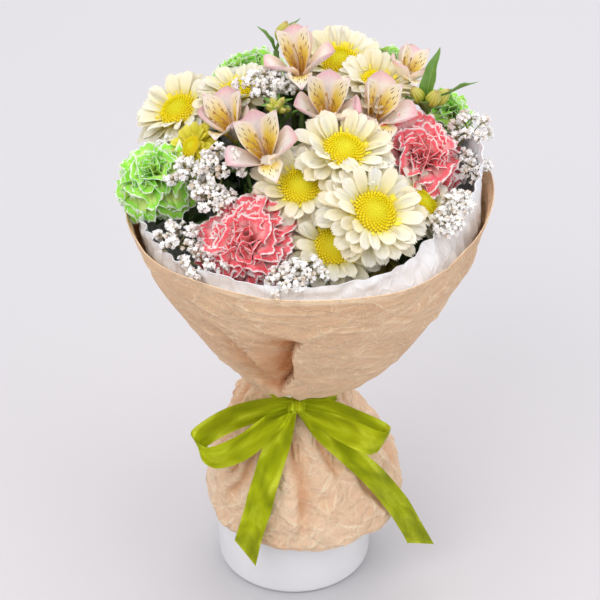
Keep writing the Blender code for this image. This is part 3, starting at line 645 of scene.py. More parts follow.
skirt = {
    "rings": [
        (0.058, 0.0810, 0.0085, 0), (0.066, 0.0835, 0.0085, 0), (0.076, 0.0830, 0.0085, 0),
        (0.090, 0.0800, 0.0080, 0), (0.108, 0.0755, 0.0060, 0), (0.127, 0.0680, 0.0050, 0),
        (0.145, 0.0565, 0.0055, 0), (0.158, 0.0470, 0.0060, 0), (0.166, 0.0400, 0.0060, 0),
        (0.172, 0.0345, 0.0060, 0), (0.1855, 0.0338, 0.0060, 0),
    ],
    "rows": 118, "columns": 384, "wall": 0.0007, "reach": 0.078, "tightest": 0.0332,
    "gathers": 24, "gatherLengths": (0.030, 0.055, 0.038, 0.070), "gatherDepths": (0.0034, 0.0024, 0.0040),
    "facets": {
        "count": 90, "levels": (0.055, 0.165), "slant": (-1.5, 1.5), "lengths": (0.010, 0.030),
        "widths": (0.005, 0.012), "talls": (0.0010, 0.0030),
    },
    "strewn": {
        "count": 520, "levels": (0.055, 0.170), "slant": (-1.6, 1.6), "lengths": (0.005, 0.018),
        "widths": (0.0012, 0.0034), "talls": (0.0004, 0.0015),
    },
    "pleats": [  # grooves down from the tie: (turn, height) along each, depth, half width
        ([(257, 0.160), (262, 0.142), (270, 0.122), (269, 0.092), (267, 0.076)], 0.0055, 0.0050),
        ([(232, 0.160), (226, 0.142), (219, 0.124), (212, 0.106)], 0.0050, 0.0045),
        ([(240, 0.160), (231, 0.136), (227, 0.114), (214, 0.090)], 0.0042, 0.0045),
        ([(300, 0.160), (312, 0.130), (315, 0.106), (330, 0.070)], 0.0040, 0.0055),
        ([(283, 0.160), (290, 0.140), (299, 0.118)], 0.0022, 0.0050),
        ([(340, 0.160), (348, 0.132), (352, 0.096)], 0.0045, 0.0060),
        ([(195, 0.160), (192, 0.135), (189, 0.105)], 0.0035, 0.0060),
    ],
    # puffs: turn, half width in degrees, height, half height, how far out
    "puffs": [
        (186, 34, 0.1690, 0.0125, 0.0115), (350, 26, 0.1680, 0.0110, 0.0050),
        (80, 60, 0.1700, 0.0130, 0.0070), (354, 36, 0.1480, 0.0200, -0.0075),
    ],
}

tissue = {
    "rows": 120, "columns": 380, "wall": 0.0005, "inset": 0.0035, "pleats": 46, "height": 0.30, "reach": 0.13,
    "strewn": {
        "count": 170, "levels": (0.12, 0.32), "slant": (0.5, 2.6), "lengths": (0.012, 0.045),
        "widths": (0.003, 0.009), "talls": (0.0006, 0.0022),
    },
}


def ringTable(rings, rows):  # the rings as even steps along the sheet's own length
    dense = smoothLine(rings, 600)
    length = np.concatenate([[0], np.cumsum(np.hypot(np.diff(dense[:, 0]), np.diff(dense[:, 1])))])
    even = np.linspace(0, length[-1], rows)
    return [np.interp(even, length, dense[:, k])[:, None] for k in range(4)]


def turnGap(turn, middle):  # signed angle from middle, between -pi and pi
    return (turn - middle + math.pi) % math.tau - math.pi


def bellAt(turn, middle, half):  # exp(-(gap / half)^2), middle and half in degrees
    return np.exp(-(turnGap(turn, math.radians(middle)) / math.radians(half)) ** 2)


def ridges(turn, level, reach, rows):
    # each ridge is h max(0, 1 - |s|/w) max(0, 1 - (f/L)^2), with s across the crease and f along it
    lift = np.zeros(np.broadcast(turn, level).shape)
    crest = np.zeros_like(lift)
    for middle, height, slant, length, width, tall in rows:
        x, y = turnGap(turn, middle) * reach, level - height
        s = x * -math.sin(slant) + y * math.cos(slant)
        far = x * math.cos(slant) + y * math.sin(slant)
        window = np.maximum(0, 1 - (far / length) ** 2)
        lift += tall * np.maximum(0, 1 - np.abs(s) / width) * window
        worn = np.maximum(0, 1 - np.abs(s) / (0.42 * width)) * window * min(1, abs(tall) / 0.0008)
        crest = np.maximum(crest, worn)
    return lift, crest


def pressedRows(rows, reach):  # creases given by their two ends, as ridge rows
    made = []
    for turn0, z0, turn1, z1, width, tall in rows:
        x, y = math.radians(turn1 - turn0) * reach, z1 - z0
        middle, height = math.radians((turn0 + turn1) / 2), (z0 + z1) / 2
        made.append((middle, height, math.atan2(y, x), math.hypot(x, y) / 2, width, tall))
    return made


def crushRows(count, levels, slant, lengths, widths, talls):  # creases strewn at random
    low, high = zip((0, math.tau), levels, slant, lengths, widths, talls)
    rows = random.uniform(low, high, (count, 6))
    return rows * np.where(random.random((count, 1)) < 0.35, [1, 1, 1, 1, 1, -1], 1)  # a third are valleys


def looseTurns(count, far):  # even turns, each moved a little at random
    return np.linspace(0, math.tau, count, endpoint=False) + random.uniform(-far, far, count)


def lineAt(rows, z):  # the turn of a fold's line at a height, in radians
    rows = sorted(rows, key=lambda row: row[1])
    return np.radians(np.interp(z, [row[1] for row in rows], [row[0] for row in rows]))


def wallShell(outer, wall, finish=0, **marks):
    # the sheet and its inner face, wall away along the normal, as one closed ring: up outside and down inside
    across = np.roll(outer, -1, 1) - np.roll(outer, 1, 1)
    normal = unit(np.cross(across, np.gradient(outer, axis=0)))
    inner = outer - wall * normal
    rows, columns, _ = outer.shape
    index = np.arange(2 * rows * columns).reshape(2 * rows, columns)
    index = np.concatenate([index, index[:1]])
    index = np.concatenate([index, index[:, :1]], 1)
    points = np.concatenate([outer, inner[::-1]]).reshape(-1, 3)
    both = {key: np.concatenate([value, value[::-1]]).ravel() for key, value in marks.items()}
    return shellOf(points, quadsOf(index), None, finish, **both)


def collarShape(rows, columns, inset=0.0):
    # radius(turn, level) = ring radius + rim wave + neck pleats + front folds + creases
    z, radius, middleX, middleY = ringTable(collar["rings"], rows)
    turn = np.linspace(0, math.tau, columns, endpoint=False)[None]
    share = np.clip((z - collar["neck"]) / (collar["rim"] - collar["neck"]), 0, 1)
    degrees = np.degrees(turn)
    z0 = z + 0 * turn
    front = bellAt(turn, 300, 48)  # the smooth overlap
    pleats = np.zeros_like(z0)
    for k, middle in enumerate(looseTurns(collar["gathers"], 0.08)):
        length, tall = collar["gatherLengths"][k % 4], collar["gatherDepths"][k % 4]
        skew = 2.4 * (z - 0.186)
        bend = np.abs(turnGap(turn, middle + skew * (-1) ** (k % 3))) / (0.115 + 0.5 * (z - 0.186))
        fade = ease((z - 0.186) / 0.008) * (1 - ease((z - 0.192) / length))
        pleats += tall * np.maximum(0, 1 - bend) * fade
    pleats *= 1 - 0.85 * front
    lift = pleats - 0.0015 * ease((z - 0.187) / 0.01) * (1 - share)
    flap = (lineAt(collar["flapEdge"], z) - turn) * radius
    top = np.interp(degrees, *zip(*collar["topFold"])) - z
    window = ease((z - 0.212) / 0.016) * ease(top / 0.014) * (degrees > 225)
    drop = ease(flap / 0.0016) * np.exp(-np.maximum(flap, 0) / 0.016) * window
    lift -= collar["flapDepth"] * drop
    side = (lineAt(collar["sideFold"], z) - turn) * radius
    window = ease((z - 0.205) / 0.016) * ease((0.312 - z) / 0.035) * (degrees > 190)
    shelf = ease(side / 0.0018) * np.exp(-np.maximum(side, 0) / 0.015) * window
    lift += -collar["sideDepth"] * shelf + 0.004 * np.exp(-np.abs(side) / 0.010) * window * (side < 0.0018)
    # the pockets under the front flap and the side fold, which the kraft finish paints with shade
    foldShade = ease(flap / 0.0016) * np.exp(-((flap - 0.004) / 0.024) ** 2)
    foldShade = foldShade * ease((z - 0.212) / 0.016) * ease(top / 0.004) * (degrees > 225)
    under = ease(side / 0.0018) * np.exp(-np.maximum(side, 0) / 0.018) * window
    pocket = np.clip(1.1 * foldShade + 1.1 * under, 0, 1)
    step = bellAt(turn, 2, 22)
    lift += 0.0045 * ease((z - 0.300) / 0.003) * step - 0.002 * step
    reach = collar["reach"]
    pressed, crest = ridges(turn, z, reach, pressedRows(collar["creases"], reach))
    strewn, fine = ridges(turn, z, reach, crushRows(**collar["strewn"]))
    waves, _ = ridges(turn, z, reach, crushRows(**collar["waves"]))
    lift += (pressed + strewn + waves) * ease((z - 0.190) / 0.02)
    crest = np.clip(crest + 0.55 * fine, 0, 1)
    edge = ease((share - 0.955) / 0.02)
    crest = np.maximum(crest, 0.9 * edge * bellAt(turn, 270, 40))
    lift += 0.0010 * np.sin(5 * turn + 0.6) * share**3 + 0.0012 * edge
    tip = np.maximum(0, np.cos(turn - math.radians(collar["tipTurn"]))) ** 6
    wavy = 0.0016 * np.sin(3 * turn + 1.0) + 0.0009 * np.sin(8 * turn)
    rise = (collar["tipRise"] * tip + wavy) * share**4
    r = radius + lift - inset
    points = np.stack([middleX + r * np.cos(turn), middleY + r * np.sin(turn), z0 + rise], -1)
    return points, crest, pocket, share + 0 * turn, turn


def makeCollar():
    points, crest, pocket, _, _ = collarShape(collar["rows"], collar["columns"])
    wall = wallShell(points, collar["wall"], 0, crest=crest, pocket=pocket)
    piece = makePiece("kraftCollar", [wall], ["kraft"], ["kraft_collar"])
    print("collar:", len(piece.data.polygons), "faces")
    return piece


def makeTissue():
    # a little inside the collar's shape and finely gathered; its edge rises, and leans in at the front
    points, _, pocket, share, turn = collarShape(tissue["rows"], tissue["columns"], tissue["inset"])
    outward = unit((points - (*collar["middle"], 0)) * (1, 1, 0))
    phase = turn * tissue["pleats"] / 2 + 1.2 * np.sin(3 * turn) + 0.8 * np.sin(5 * turn + 1)
    front = bellAt(turn, 262, 62)
    stand = bellAt(turn, 8, 26)
    crumple = np.abs(np.sin(phase + 2.0 * share * np.sin(2 * turn))) - 0.5
    crumple = crumple * (1 - 0.85 * front) * (1 - 0.7 * stand)
    strewn, crest = ridges(turn, tissue["height"] * share, tissue["reach"], crushRows(**tissue["strewn"]))
    free = ease((share - 0.88) / 0.12)
    right = bellAt(turn, 318, 26)
    back = bellAt(turn, 95, 70)
    out = -0.0010 - 0.0034 * crumple * share + strewn * (1 - 0.6 * share) * 0.6
    out += free * (strewn * 2.2 - 0.004 * crumple - 0.004 - 0.004 * front - 0.014 * right) - 0.006 * pocket
    ragged = 0.0014 * np.sin(9 * turn + 0.5) + 0.0018 * np.sin(4 * turn + 2) + 0.0008 * np.sin(23 * turn)
    rise = 0.005 + ragged * (1 - 0.8 * front) - 0.0025 * front + 0.006 * right + 0.022 * stand + 0.004 * back
    points = points + outward * out[..., None]
    points[..., 2] += free * rise
    wall = wallShell(points, tissue["wall"], 0, crest=np.clip(crest, 0, 1))
    piece = makePiece("tissueLiner", [wall], ["tissue"], ["tissue_liner"])
    print("tissue:", len(piece.data.polygons), "faces")
    return piece


def makeSkirt():
    # radius(turn, level) = ring radius - grooves + gathers + puffs at the waist + crushed facets
    z, radius, middleX, middleY = ringTable(skirt["rings"], skirt["rows"])
    turn = np.linspace(0, math.tau, skirt["columns"], endpoint=False)[None]
    z0 = z + 0 * turn
    lift = np.zeros_like(z0)
    pocket = np.zeros_like(z0)
    body = ease((0.166 - z) / 0.02)
    for line, depth, width in skirt["pleats"]:
        lowest = min(row[1] for row in line)
        s = turnGap(turn, lineAt(line, z)) * radius
        window = ease((z - lowest + 0.004) / 0.020) * body
        groove = np.where(s < 0, np.maximum(0, 1 + s / width), np.maximum(0, 1 - s / (3.2 * width)))
        lift -= depth * groove**1.3 * window
        lift += 0.35 * depth * np.exp(-((s + 1.8 * width) / (1.2 * width)) ** 2) * window
        # painted shade down each groove
        pocket = np.maximum(pocket, 0.8 * groove**1.5 * window)
    gathers = np.zeros_like(z0)
    for k, middle in enumerate(looseTurns(skirt["gathers"], 0.09)):
        length, tall = skirt["gatherLengths"][k % 4], skirt["gatherDepths"][k % 3]
        sway = 0.05 * math.sin(5.0 * k) * (0.17 - z) / 0.03
        bend = np.abs(turnGap(turn, middle + sway)) / (0.10 + 0.3 * (0.170 - z))
        gathers += tall * np.maximum(0, 1 - bend) * body * (1 - ease((0.166 - z) / length))
    lift += gathers - 0.0008 * body
    crinkle = np.abs(np.sin(9 * turn + 60 * z))
    for middle, half, height, tall, far in skirt["puffs"]:
        crown = np.exp(-(turnGap(turn, math.radians(middle)) / math.radians(half)) ** 4)
        crown = crown * np.exp(-((z - height) / tall) ** 4)
        lift += far * crown * (1 + 0.32 * crinkle + 0.16 * np.sin(29 * turn))
        # painted shade in the crinkled troughs of each outward puff
        pocket = np.maximum(pocket, 0.9 * (far > 0) * crown * (1 - crinkle) ** 1.5)
    facets, _ = ridges(turn, z, skirt["reach"], crushRows(**skirt["facets"]))
    strewn, fine = ridges(turn, z, skirt["reach"], crushRows(**skirt["strewn"]))
    lift += (facets + strewn) * (0.25 + 0.75 * body) - 0.0012 * body
    hem = ease((0.068 - z) / 0.010)
    dip = 0.0030 * np.exp(-(turnGap(turn, math.radians(262)) / 0.35) ** 2)
    rise = hem * (0.0040 + 0.0018 * np.sin(3 * turn + 0.4) + 0.0012 * np.sin(7 * turn + 2) - dip)
    lift += hem * (0.0012 * np.sin(9 * turn) + 0.0008 * np.sin(17 * turn + 1))
    r = np.maximum(radius + lift, skirt["tightest"])
    points = np.stack([middleX + r * np.cos(turn), middleY + r * np.sin(turn), z0 + rise], -1)
    wall = wallShell(points, skirt["wall"], 0, crest=np.clip(fine, 0, 1), pocket=np.clip(pocket, 0, 1))
    piece = makePiece("kraftSkirt", [wall], ["skirt"], ["kraft_skirt"])
    print("skirt:", len(piece.data.polygons), "faces")
    return piece


# string and ribbon

binding = {"radius": 0.0270, "twine": 0.0011, "turns": 4, "pitch": 0.0021, "height": 0.1765, "middleX": 0.006}

ribbon = {
    "thick": 0.0005, "bandRadius": 0.0355, "bandWidth": 0.0125, "height": 0.180, "middleX": 0.006,
    "columns": 15, "loopRows": 96, "tailRows": 84,
    "knot": (0.002, -0.0412, 0.181), "knotSize": (0.0075, 0.0052, 0.0066),
    # middle of the ribbon and half its width as a vector, at stations along each run
    "leftLoop": [
        ((0.004, -0.041, 0.184), (0.000, 0.001, 0.003)),
        ((-0.020, -0.043, 0.181), (-0.001, 0.004, 0.007)),
        ((-0.048, -0.043, 0.171), (-0.003, 0.005, 0.008)),
        ((-0.070, -0.045, 0.158), (-0.004, 0.005, 0.007)),
        ((-0.078, -0.051, 0.150), (-0.004, 0.004, 0.008)),
        ((-0.066, -0.060, 0.144), (-0.004, 0.004, 0.008)),
        ((-0.042, -0.060, 0.154), (-0.004, 0.005, 0.008)),
        ((-0.018, -0.050, 0.169), (-0.003, 0.005, 0.007)),
        ((0.000, -0.042, 0.178), (0.000, 0.001, 0.002)),
    ],
    "rightLoop": [
        ((0.000, -0.041, 0.184), (0.000, 0.001, 0.003)), ((0.026, -0.043, 0.180), (0.002, 0.004, 0.007)),
        ((0.050, -0.048, 0.170), (0.004, 0.005, 0.008)), ((0.068, -0.050, 0.160), (0.006, 0.005, 0.008)),
        ((0.073, -0.055, 0.156), (0.006, 0.005, 0.008)), ((0.064, -0.059, 0.158), (0.005, 0.005, 0.008)),
        ((0.044, -0.055, 0.166), (0.004, 0.005, 0.008)), ((0.022, -0.048, 0.173), (0.002, 0.004, 0.006)),
        ((0.004, -0.042, 0.178), (0.000, 0.001, 0.002)),
    ],
    "leftTail": [
        ((0.000, -0.042, 0.180), (0.003, 0.000, 0.001)),
        ((-0.010, -0.054, 0.162), (0.009, -0.003, -0.001)),
        ((-0.020, -0.067, 0.136), (0.010, -0.004, -0.002)),
        ((-0.029, -0.077, 0.104), (0.010, -0.004, -0.002)),
        ((-0.036, -0.082, 0.080), (0.010, -0.003, -0.002)),
        ((-0.040, -0.082, 0.062), (0.010, -0.003, -0.005)),
    ],
    "rightTail": [
        ((0.004, -0.042, 0.180), (0.002, 0.001, 0.002)), ((0.022, -0.050, 0.166), (0.006, 0.004, 0.005)),
        ((0.042, -0.056, 0.147), (0.007, 0.004, 0.004)), ((0.064, -0.053, 0.120), (0.008, 0.005, 0.003)),
        ((0.084, -0.044, 0.084), (0.008, 0.005, 0.003)), ((0.097, -0.038, 0.054), (0.008, 0.004, 0.003)),
        ((0.106, -0.034, 0.031), (0.008, 0.004, 0.004)),
    ],
}


def makeBinding():
    # a helix of twine: angle a from 0 to 4 turns, z rising one pitch a turn
    a = np.linspace(0, math.tau * binding["turns"], 48 * binding["turns"])
    r = binding["radius"] + 0.0001 * np.sin(9 * a)
    z = binding["height"] + binding["pitch"] * a / math.tau
    line = np.stack([binding["middleX"] + r * np.cos(a), r * np.sin(a), z], -1)
    twine = tubeShell(line, binding["twine"], 10, ref=(0, 0, 1))
    makePiece("stemBinding", [twine], ["twine"], ["stem_binding"])
    print("binding turns:", binding["turns"])


def ribbonRun(stations, rows, cols, ends, buckle=0.0012):
    # middle(s) + t half(s), with gather pleats cos(2.5 pi t + 1) along the normal that die out away from
    # the knot
    middle = smoothLine([row[0] for row in stations], rows)[:, None]
    half = smoothLine([row[1] for row in stations], rows)[:, None]
    t = np.linspace(-1, 1, cols)[None, :, None]
    s = np.linspace(0, 1, rows)[:, None, None]
    grid = middle + t * half
    normal = unit(np.cross(np.gradient(grid, axis=1), np.gradient(grid, axis=0)))
    near = ends[0] * np.exp(-s / 0.13) + ends[1] * np.exp(-(1 - s) / 0.13)
    fold = 0.0015 * near * np.cos(2.5 * math.pi * t + 1.0)
    ripple = np.sin(7 * s * math.pi + 1.5 * t) + 0.7 * np.sin(12 * s * math.pi - 2.2 * t + 1)
    ripple = 0.6 * buckle * ripple * np.sin(math.pi * s)
    curl = -0.0010 * t * t * (1 - near)
    return (grid + normal * (fold + ripple + curl))[None]


def makeRibbon():
    shells = []
    cols = ribbon["columns"]
    for key in ("leftLoop", "rightLoop"):
        shells.append(leafShells(ribbonRun(ribbon[key], ribbon["loopRows"], cols, (1, 1)), ribbon["thick"]))
    for key, bias in (("leftTail", 0.55), ("rightTail", 0.85)):
        rows = ribbon["tailRows"]
        grid = ribbonRun(ribbon[key], rows, cols, (1, 0), 0.0016)
        t = np.linspace(-1, 1, cols)[None, None, :, None]
        last = unit(grid[:, -1:] - grid[:, -4:-3])
        reach = ease((np.linspace(0, 1, rows) - 0.80) / 0.20)[None, :, None, None]
        shells.append(leafShells(grid + last * bias * 0.012 * t * reach, ribbon["thick"]))  # slanting cut
    turn = np.linspace(0, math.tau, 200, endpoint=False)[None]
    level = np.linspace(-1, 1, 11)[:, None]
    folds = 0.0006 * np.cos(3.5 * math.pi * level + 1.5 * np.sin(3 * turn)) + 0.0003 * np.sin(17 * turn)
    r = ribbon["bandRadius"] + folds
    z = ribbon["height"] + level * 0.5 * ribbon["bandWidth"] * (1 + 0.10 * np.sin(5 * turn))
    band = np.stack([ribbon["middleX"] + r * np.cos(turn), r * np.sin(turn), z + 0 * turn], -1)
    along, across = np.broadcast_to(turn / 6.3, r.shape), np.broadcast_to(0.5 + 0.5 * level, r.shape)
    shells.append(wallShell(band, ribbon["thick"], 0, along=along, across=across))
    # the knot: a pleated ring of ribbon pulled tight over the crossing
    a = np.linspace(0, math.tau, 64, endpoint=False)[None]
    u = np.linspace(-1, 1, 13)[:, None]
    w, d, h = ribbon["knotSize"]
    swell = 1 + 0.10 * np.cos(5 * math.pi * u + 2 * np.sin(a)) - 0.35 * u * u
    knot = (
        np.stack([u * w + 0 * a, -d * swell * np.cos(a), h * swell * np.sin(a)], -1)
        + np.asarray(ribbon["knot"])
    )
    ends = [(ribbon["knot"][0] - w, *ribbon["knot"][1:]), (ribbon["knot"][0] + w, *ribbon["knot"][1:])]
    shells.append(ringShell(knot, *ends))
    piece = makePiece("satinRibbonBow", shells, ["satin"], ["satin_ribbon"])
    print("ribbon:", len(piece.data.polygons), "faces")
    return piece


# stems

bunch = {
    "tie": 0.180, "tieX": 0.006, "top": 0.380, "topMiddle": (0.008, 0.018), "bundle": 0.022,
    "topSpread": 4.8, "footSpread": 1.45,
    "foot": 0.0063, "straight": 0.008, "forkDrop": 0.085, "twig": 0.7,
    "levels": (0.0063, 0.1, 0.15, 0.180, 0.215, 0.26, 0.31, 0.35),  # from the foot up, through the tie
    "leavesFrom": 0.30, "leavesTo": 0.365, "leafDrop": 0.030,  # leaves stay that far under the lowest flower
    "chrysanthemum": 0.0019, "carnation": 0.0022, "alstroemeria": 0.0020, "lavender": 0.0014,
}


def bunchMiddle(z):
    if z < bunch["tie"]:
        return np.array([bunch["tieX"] * z / bunch["tie"], 0, z])
    share = (z - bunch["tie"]) / (bunch["top"] - bunch["tie"])
    (topX, topY), tieX = bunch["topMiddle"], bunch["tieX"]
    return np.array([tieX + (topX - tieX) * share, topY * share, z])


def bunchSpread(z):
    if z < bunch["tie"]:
        return 1 + (bunch["footSpread"] - 1) * (bunch["tie"] - z) / (bunch["tie"] - bunch["foot"])
    return 1 + (bunch["topSpread"] - 1) * (z - bunch["tie"]) / (bunch["top"] - bunch["tie"])


def tiePlace(point):  # where the stem through a point crosses the tie, from the bundle's middle
    offset = (point - bunchMiddle(point[2]))[:2] / bunchSpread(point[2])
    offset *= min(1, bunch["bundle"] / max(np.linalg.norm(offset), 1e-9))
    return np.array([*offset, 0])


def onStem(place, z):
    return bunchMiddle(z) + place * bunchSpread(z)


def stemTo(place, top):  # drawn in by the tie, it bends out again above it, as the square of the way up
    miss = top - onStem(place, top[2])
    tie = bunch["tie"]
    levels = [z for z in bunch["levels"] if z < top[2] - 0.012]
    return [onStem(place, z) + miss * (max(0, z - tie) / (top[2] - tie)) ** 2 for z in levels]


def facing(lean):
    return unit(np.array([lean[0], lean[1], 1.0]))


def stemShell(points, radius, knobs=0):
    # a tube with a slight swelling at each leaf joint
    points = [np.asarray(p, float) for p in points]
    line = smoothLine(points, 14 * len(points))
    s = np.linspace(0, 1, len(line))
    swell = 1 + 0.22 * np.maximum(0, np.cos(s * math.tau * knobs)) ** 30 if knobs else 1 + 0 * s
    return tubeShell(line, radius * swell, 9)


def leafOn(base, direction, length, width, droop, fold, roll, finish, lobes=0, tone=None):
    # a blade along a bending middle line: width w(s) = sin(pi s^0.85)^0.8, folded up along its rib, its
    # tip drooping
    direction = unit(np.asarray(direction, float))
    side = unit(np.cross(direction, (0, 0, 1)) + 1e-6)
    up = np.cross(side, direction)
    side, up = side * math.cos(roll) + up * math.sin(roll), up * math.cos(roll) - side * math.sin(roll)
    s = np.linspace(0, 1, 15)[:, None, None]
    t = np.linspace(-1, 1, 9)[None, :, None]
    shape = np.maximum(0.04, np.sin(math.pi * s**0.85) ** 0.8)
    if lobes:
        shape = shape * (1 + 0.20 * np.abs(t) * np.sin(lobes * math.tau * s))
    half = width / 2 * shape
    bend = droop * s * s
    middle = np.asarray(base) + direction * length * (s - 0.18 * bend * s)
    middle = middle - np.array([0, 0, 1]) * length * 0.45 * bend + up * length * 0.10 * np.sin(math.pi * s)
    wave = 0.02 * length * np.sin(3 * math.tau * s) * t * t
    grid = middle + side * t * half + up * (np.abs(t) ** 1.3 * fold * half + wave)
    return leafShells(grid[None], 0.0006, finish, tone=float(random.random()) if tone is None else tone)


def insideWrap(shell):
    # a point that reaches past the wrap's inside is drawn back to it, level with where it stood
    rings = np.asarray(collar["rings"])
    x, y, z = shell["points"].T
    middleX, middleY = collar["middle"]
    room, more = collar["room"]
    low, high = collar["roomSpan"]
    limit = np.interp(z, rings[:, 0], rings[:, 1]) - room - more * (z > collar["highFrom"])
    r = np.maximum(np.hypot(x - middleX, y - middleY), 1e-6)
    k = np.where((z > low) & (z < high), np.minimum(1, limit / r), 1)
    return dict(shell, points=np.stack([middleX + (x - middleX) * k, middleY + (y - middleY) * k, z], -1))


def stemLeaves(points, count, size, high):
    # leaves up the top of a stem, a golden angle apart, each bending outward
    line = smoothLine([np.asarray(p, float) for p in points], 160)
    low = bunch["leavesFrom"]
    made = []
    for k in range(count):
        z = low + (high - low) * (k + 0.5) / count
        base = line[np.abs(line[:, 2] - z).argmin()]
        if abs(base[2] - z) > 0.02:
            continue
        a = 2.4 * k + 7.1 * base[0] * 100 + 3
        out = unit(np.array([base[0] - 0.008, base[1] - 0.01, 0]))
        direction = np.array([math.cos(a), math.sin(a), 0.85]) + 0.8 * out
        long = size * random.uniform(0.8, 1.2)
        roll = random.uniform(-0.5, 0.5)
        made.append(insideWrap(leafOn(base, direction, long, 0.42 * long, 0.55, 0.30, roll, 1, lobes=3)))
    return made


def stemPiece(node, flowers, depths, radius, leaves, size, finish="leaf"):
    # one stem, or one that forks under its flowers
    ends = []
    high = min(bunch["leavesTo"], min(centre[2] for centre, _, _ in flowers) - bunch["leafDrop"])
    for (centre, _, lean), depth in zip(flowers, depths):
        axis = facing(lean)
        end = np.asarray(centre) + (depth + 0.001) * axis
        ends.append((end - (bunch["straight"] + 0.001) * axis, end))
    places = [tiePlace(under) for under, _ in ends]
    shells = []
    if len(flowers) == 1:
        points = stemTo(places[0], ends[0][0]) + list(ends[0])
        shells = [stemShell(points, radius, 6), *stemLeaves(points, leaves, size, high)]
    else:
        main = sum(places) / len(places)
        fork = onStem(main, min(under[2] for under, _ in ends) - bunch["forkDrop"])
        for index, (place, (under, end)) in enumerate(zip(places, ends)):
            miss, branch = under - onStem(place, under[2]), []
            for share in (0.25, 0.5, 0.75):
                z = fork[2] + share * (under[2] - fork[2])
                branch.append(onStem(main + (place - main) * ease(share), z) + miss * share**2)
            points, thick = [fork] + branch + [under, end], bunch["twig"] * radius
            if index == 0:
                points, thick = stemTo(main, fork) + points, radius
            shells += [stemShell(points, thick, 3), *stemLeaves(points, leaves, size, high)]
    name = "".join(word if k == 0 else word.capitalize() for k, word in enumerate(node.split("_")))
    return makePiece(name, shells, ["stem", finish], [node])


# flowers

chrysanthemum = {
    "depth": -0.013, "disc": 0.0168, "dome": 0.0074, "florets": 280, "petal": 0.0007, "yellow": (12,),
    # petals in a row, foot's distance from the axis, length, rise at the foot and at the tip in degrees,
    # foot's height, width
    "rows": [
        (21, 0.0100, 0.0292, 12, -18, -0.0034, 0.0122), (19, 0.0105, 0.0272, 28, 0, -0.0022, 0.0114),
        (18, 0.0115, 0.0232, 46, 20, -0.0008, 0.0098),
    ],
    "tufts": (72, 0.0142, 0.0074, 62, 26, 0.0004, 0.0015),  # round the disc, in the same order
    "sepals": (12, 0.0060, 0.0085, 38, 20, -0.0098, 0.0052),
    "cup": [  # (radius, height) up the green cup under the head
        (0.0019, -0.0132), (0.0045, -0.0128), (0.0085, -0.0100), (0.0118, -0.0058), (0.0122, -0.0040),
        (0.0080, -0.0036),
    ],
    # number, centre, size, lean toward X and Y
    "heads": [
        (1, (-0.091, 0.074, 0.388), 1.00, (-0.45, -0.30)),
        (2, (-0.043, 0.068, 0.409), 0.92, (-0.15, 0.00)),
        (3, (-0.070, 0.104, 0.376), 0.92, (-0.45, 0.60)),
        (4, (0.036, 0.096, 0.420), 0.98, (0.00, -0.26)),
        (5, (0.066, 0.063, 0.419), 0.90, (0.30, -0.15)),
        (6, (0.038, -0.024, 0.411), 1.04, (0.15, -0.35)),
        (7, (0.006, -0.045, 0.392), 1.00, (-0.10, -0.60)),
        (8, (0.060, -0.068, 0.384), 1.10, (0.40, -0.65)),
        (9, (0.031, -0.080, 0.362), 1.00, (0.10, -0.90)),
        (10, (0.098, -0.028, 0.366), 0.90, (0.80, -0.25)),
        (11, (0.000, 0.128, 0.378), 0.95, (0.00, 0.85)),
        (12, (-0.078, 0.009, 0.395), 0.55, (-0.80, -0.50)),
    ],
    "sprays": [(1, 2, 3), (4, 5), (6, 7), (8, 9, 10), (11,), (12,)],
}


def petalGrid(
    count, foot, length, rise, droop, height, width, spin, rows=12, cols=7, cup=0.16, jitter=1.0,
    narrow=0.42,
):
    # middle line: direction turns from rise to droop; half width grows from narrow to 1 and rounds off at
    # the tip
    s = np.linspace(0, 1, rows)[None, :, None]
    t = np.linspace(-1, 1, cols)[None, None, :]
    k = np.arange(count)[:, None, None]
    vary = np.clip(random.normal(0, 1, (6, count, 1, 1)), -2, 2) * jitter
    a = math.tau * k / count + spin + 0.11 * vary[0]
    start, end = np.radians(rise + 6 * vary[1]), np.radians(droop + 12 * vary[2])
    slope = start + (end - start) * s**1.3
    step = length * (1 + 0.06 * vary[3]) / (rows - 1)
    r = foot + np.cumsum(np.cos(slope), 1) * step - np.cos(start) * step
    z = height + np.cumsum(np.sin(slope), 1) * step - np.sin(start) * step
    rounded = np.sqrt(np.maximum(0.02, 1 - np.clip((s - 0.74) / 0.27, 0, 1) ** 2.2))
    half = 0.5 * width * (narrow + (1 - narrow) * ease(s / 0.62)) * rounded
    tipNotch = 0.035 * length * ease((s - 0.80) / 0.20) * np.cos(2 * math.pi * t + 1.5 * vary[5])
    grooves = cup * half * (t * t - 0.25) + 0.06 * half * np.cos(3 * math.pi * t)
    twist = 0.25 * vary[4] * s
    side = t * half * np.cos(twist)
    lift = grooves + t * half * np.sin(twist)
    r = r - np.sin(slope) * lift + np.cos(slope) * tipNotch
    z = z + np.cos(slope) * lift
    x = r * np.cos(a) + side * np.sin(a)
    y = r * np.sin(a) - side * np.cos(a)
    return np.stack(np.broadcast_arrays(x, y, z), -1)


def floretShell(sides=10):
    # a small tube that opens in five points: radius swings between 1 and 0.55 at its mouth
    a = np.linspace(0, math.tau, sides, endpoint=False)
    star = np.where(np.arange(sides) % 2 == 0, 1.0, 0.55)
    radii = np.stack([0.45 + 0 * a, 0.55 + 0 * a, star])
    heights = np.array([0.0, 1.2, 2.1])[:, None] + 0 * a
    rings = np.stack([radii * np.cos(a), radii * np.sin(a), heights], -1)
    return ringShell(rings, (0, 0, 0.0), (0, 0, 1.5))


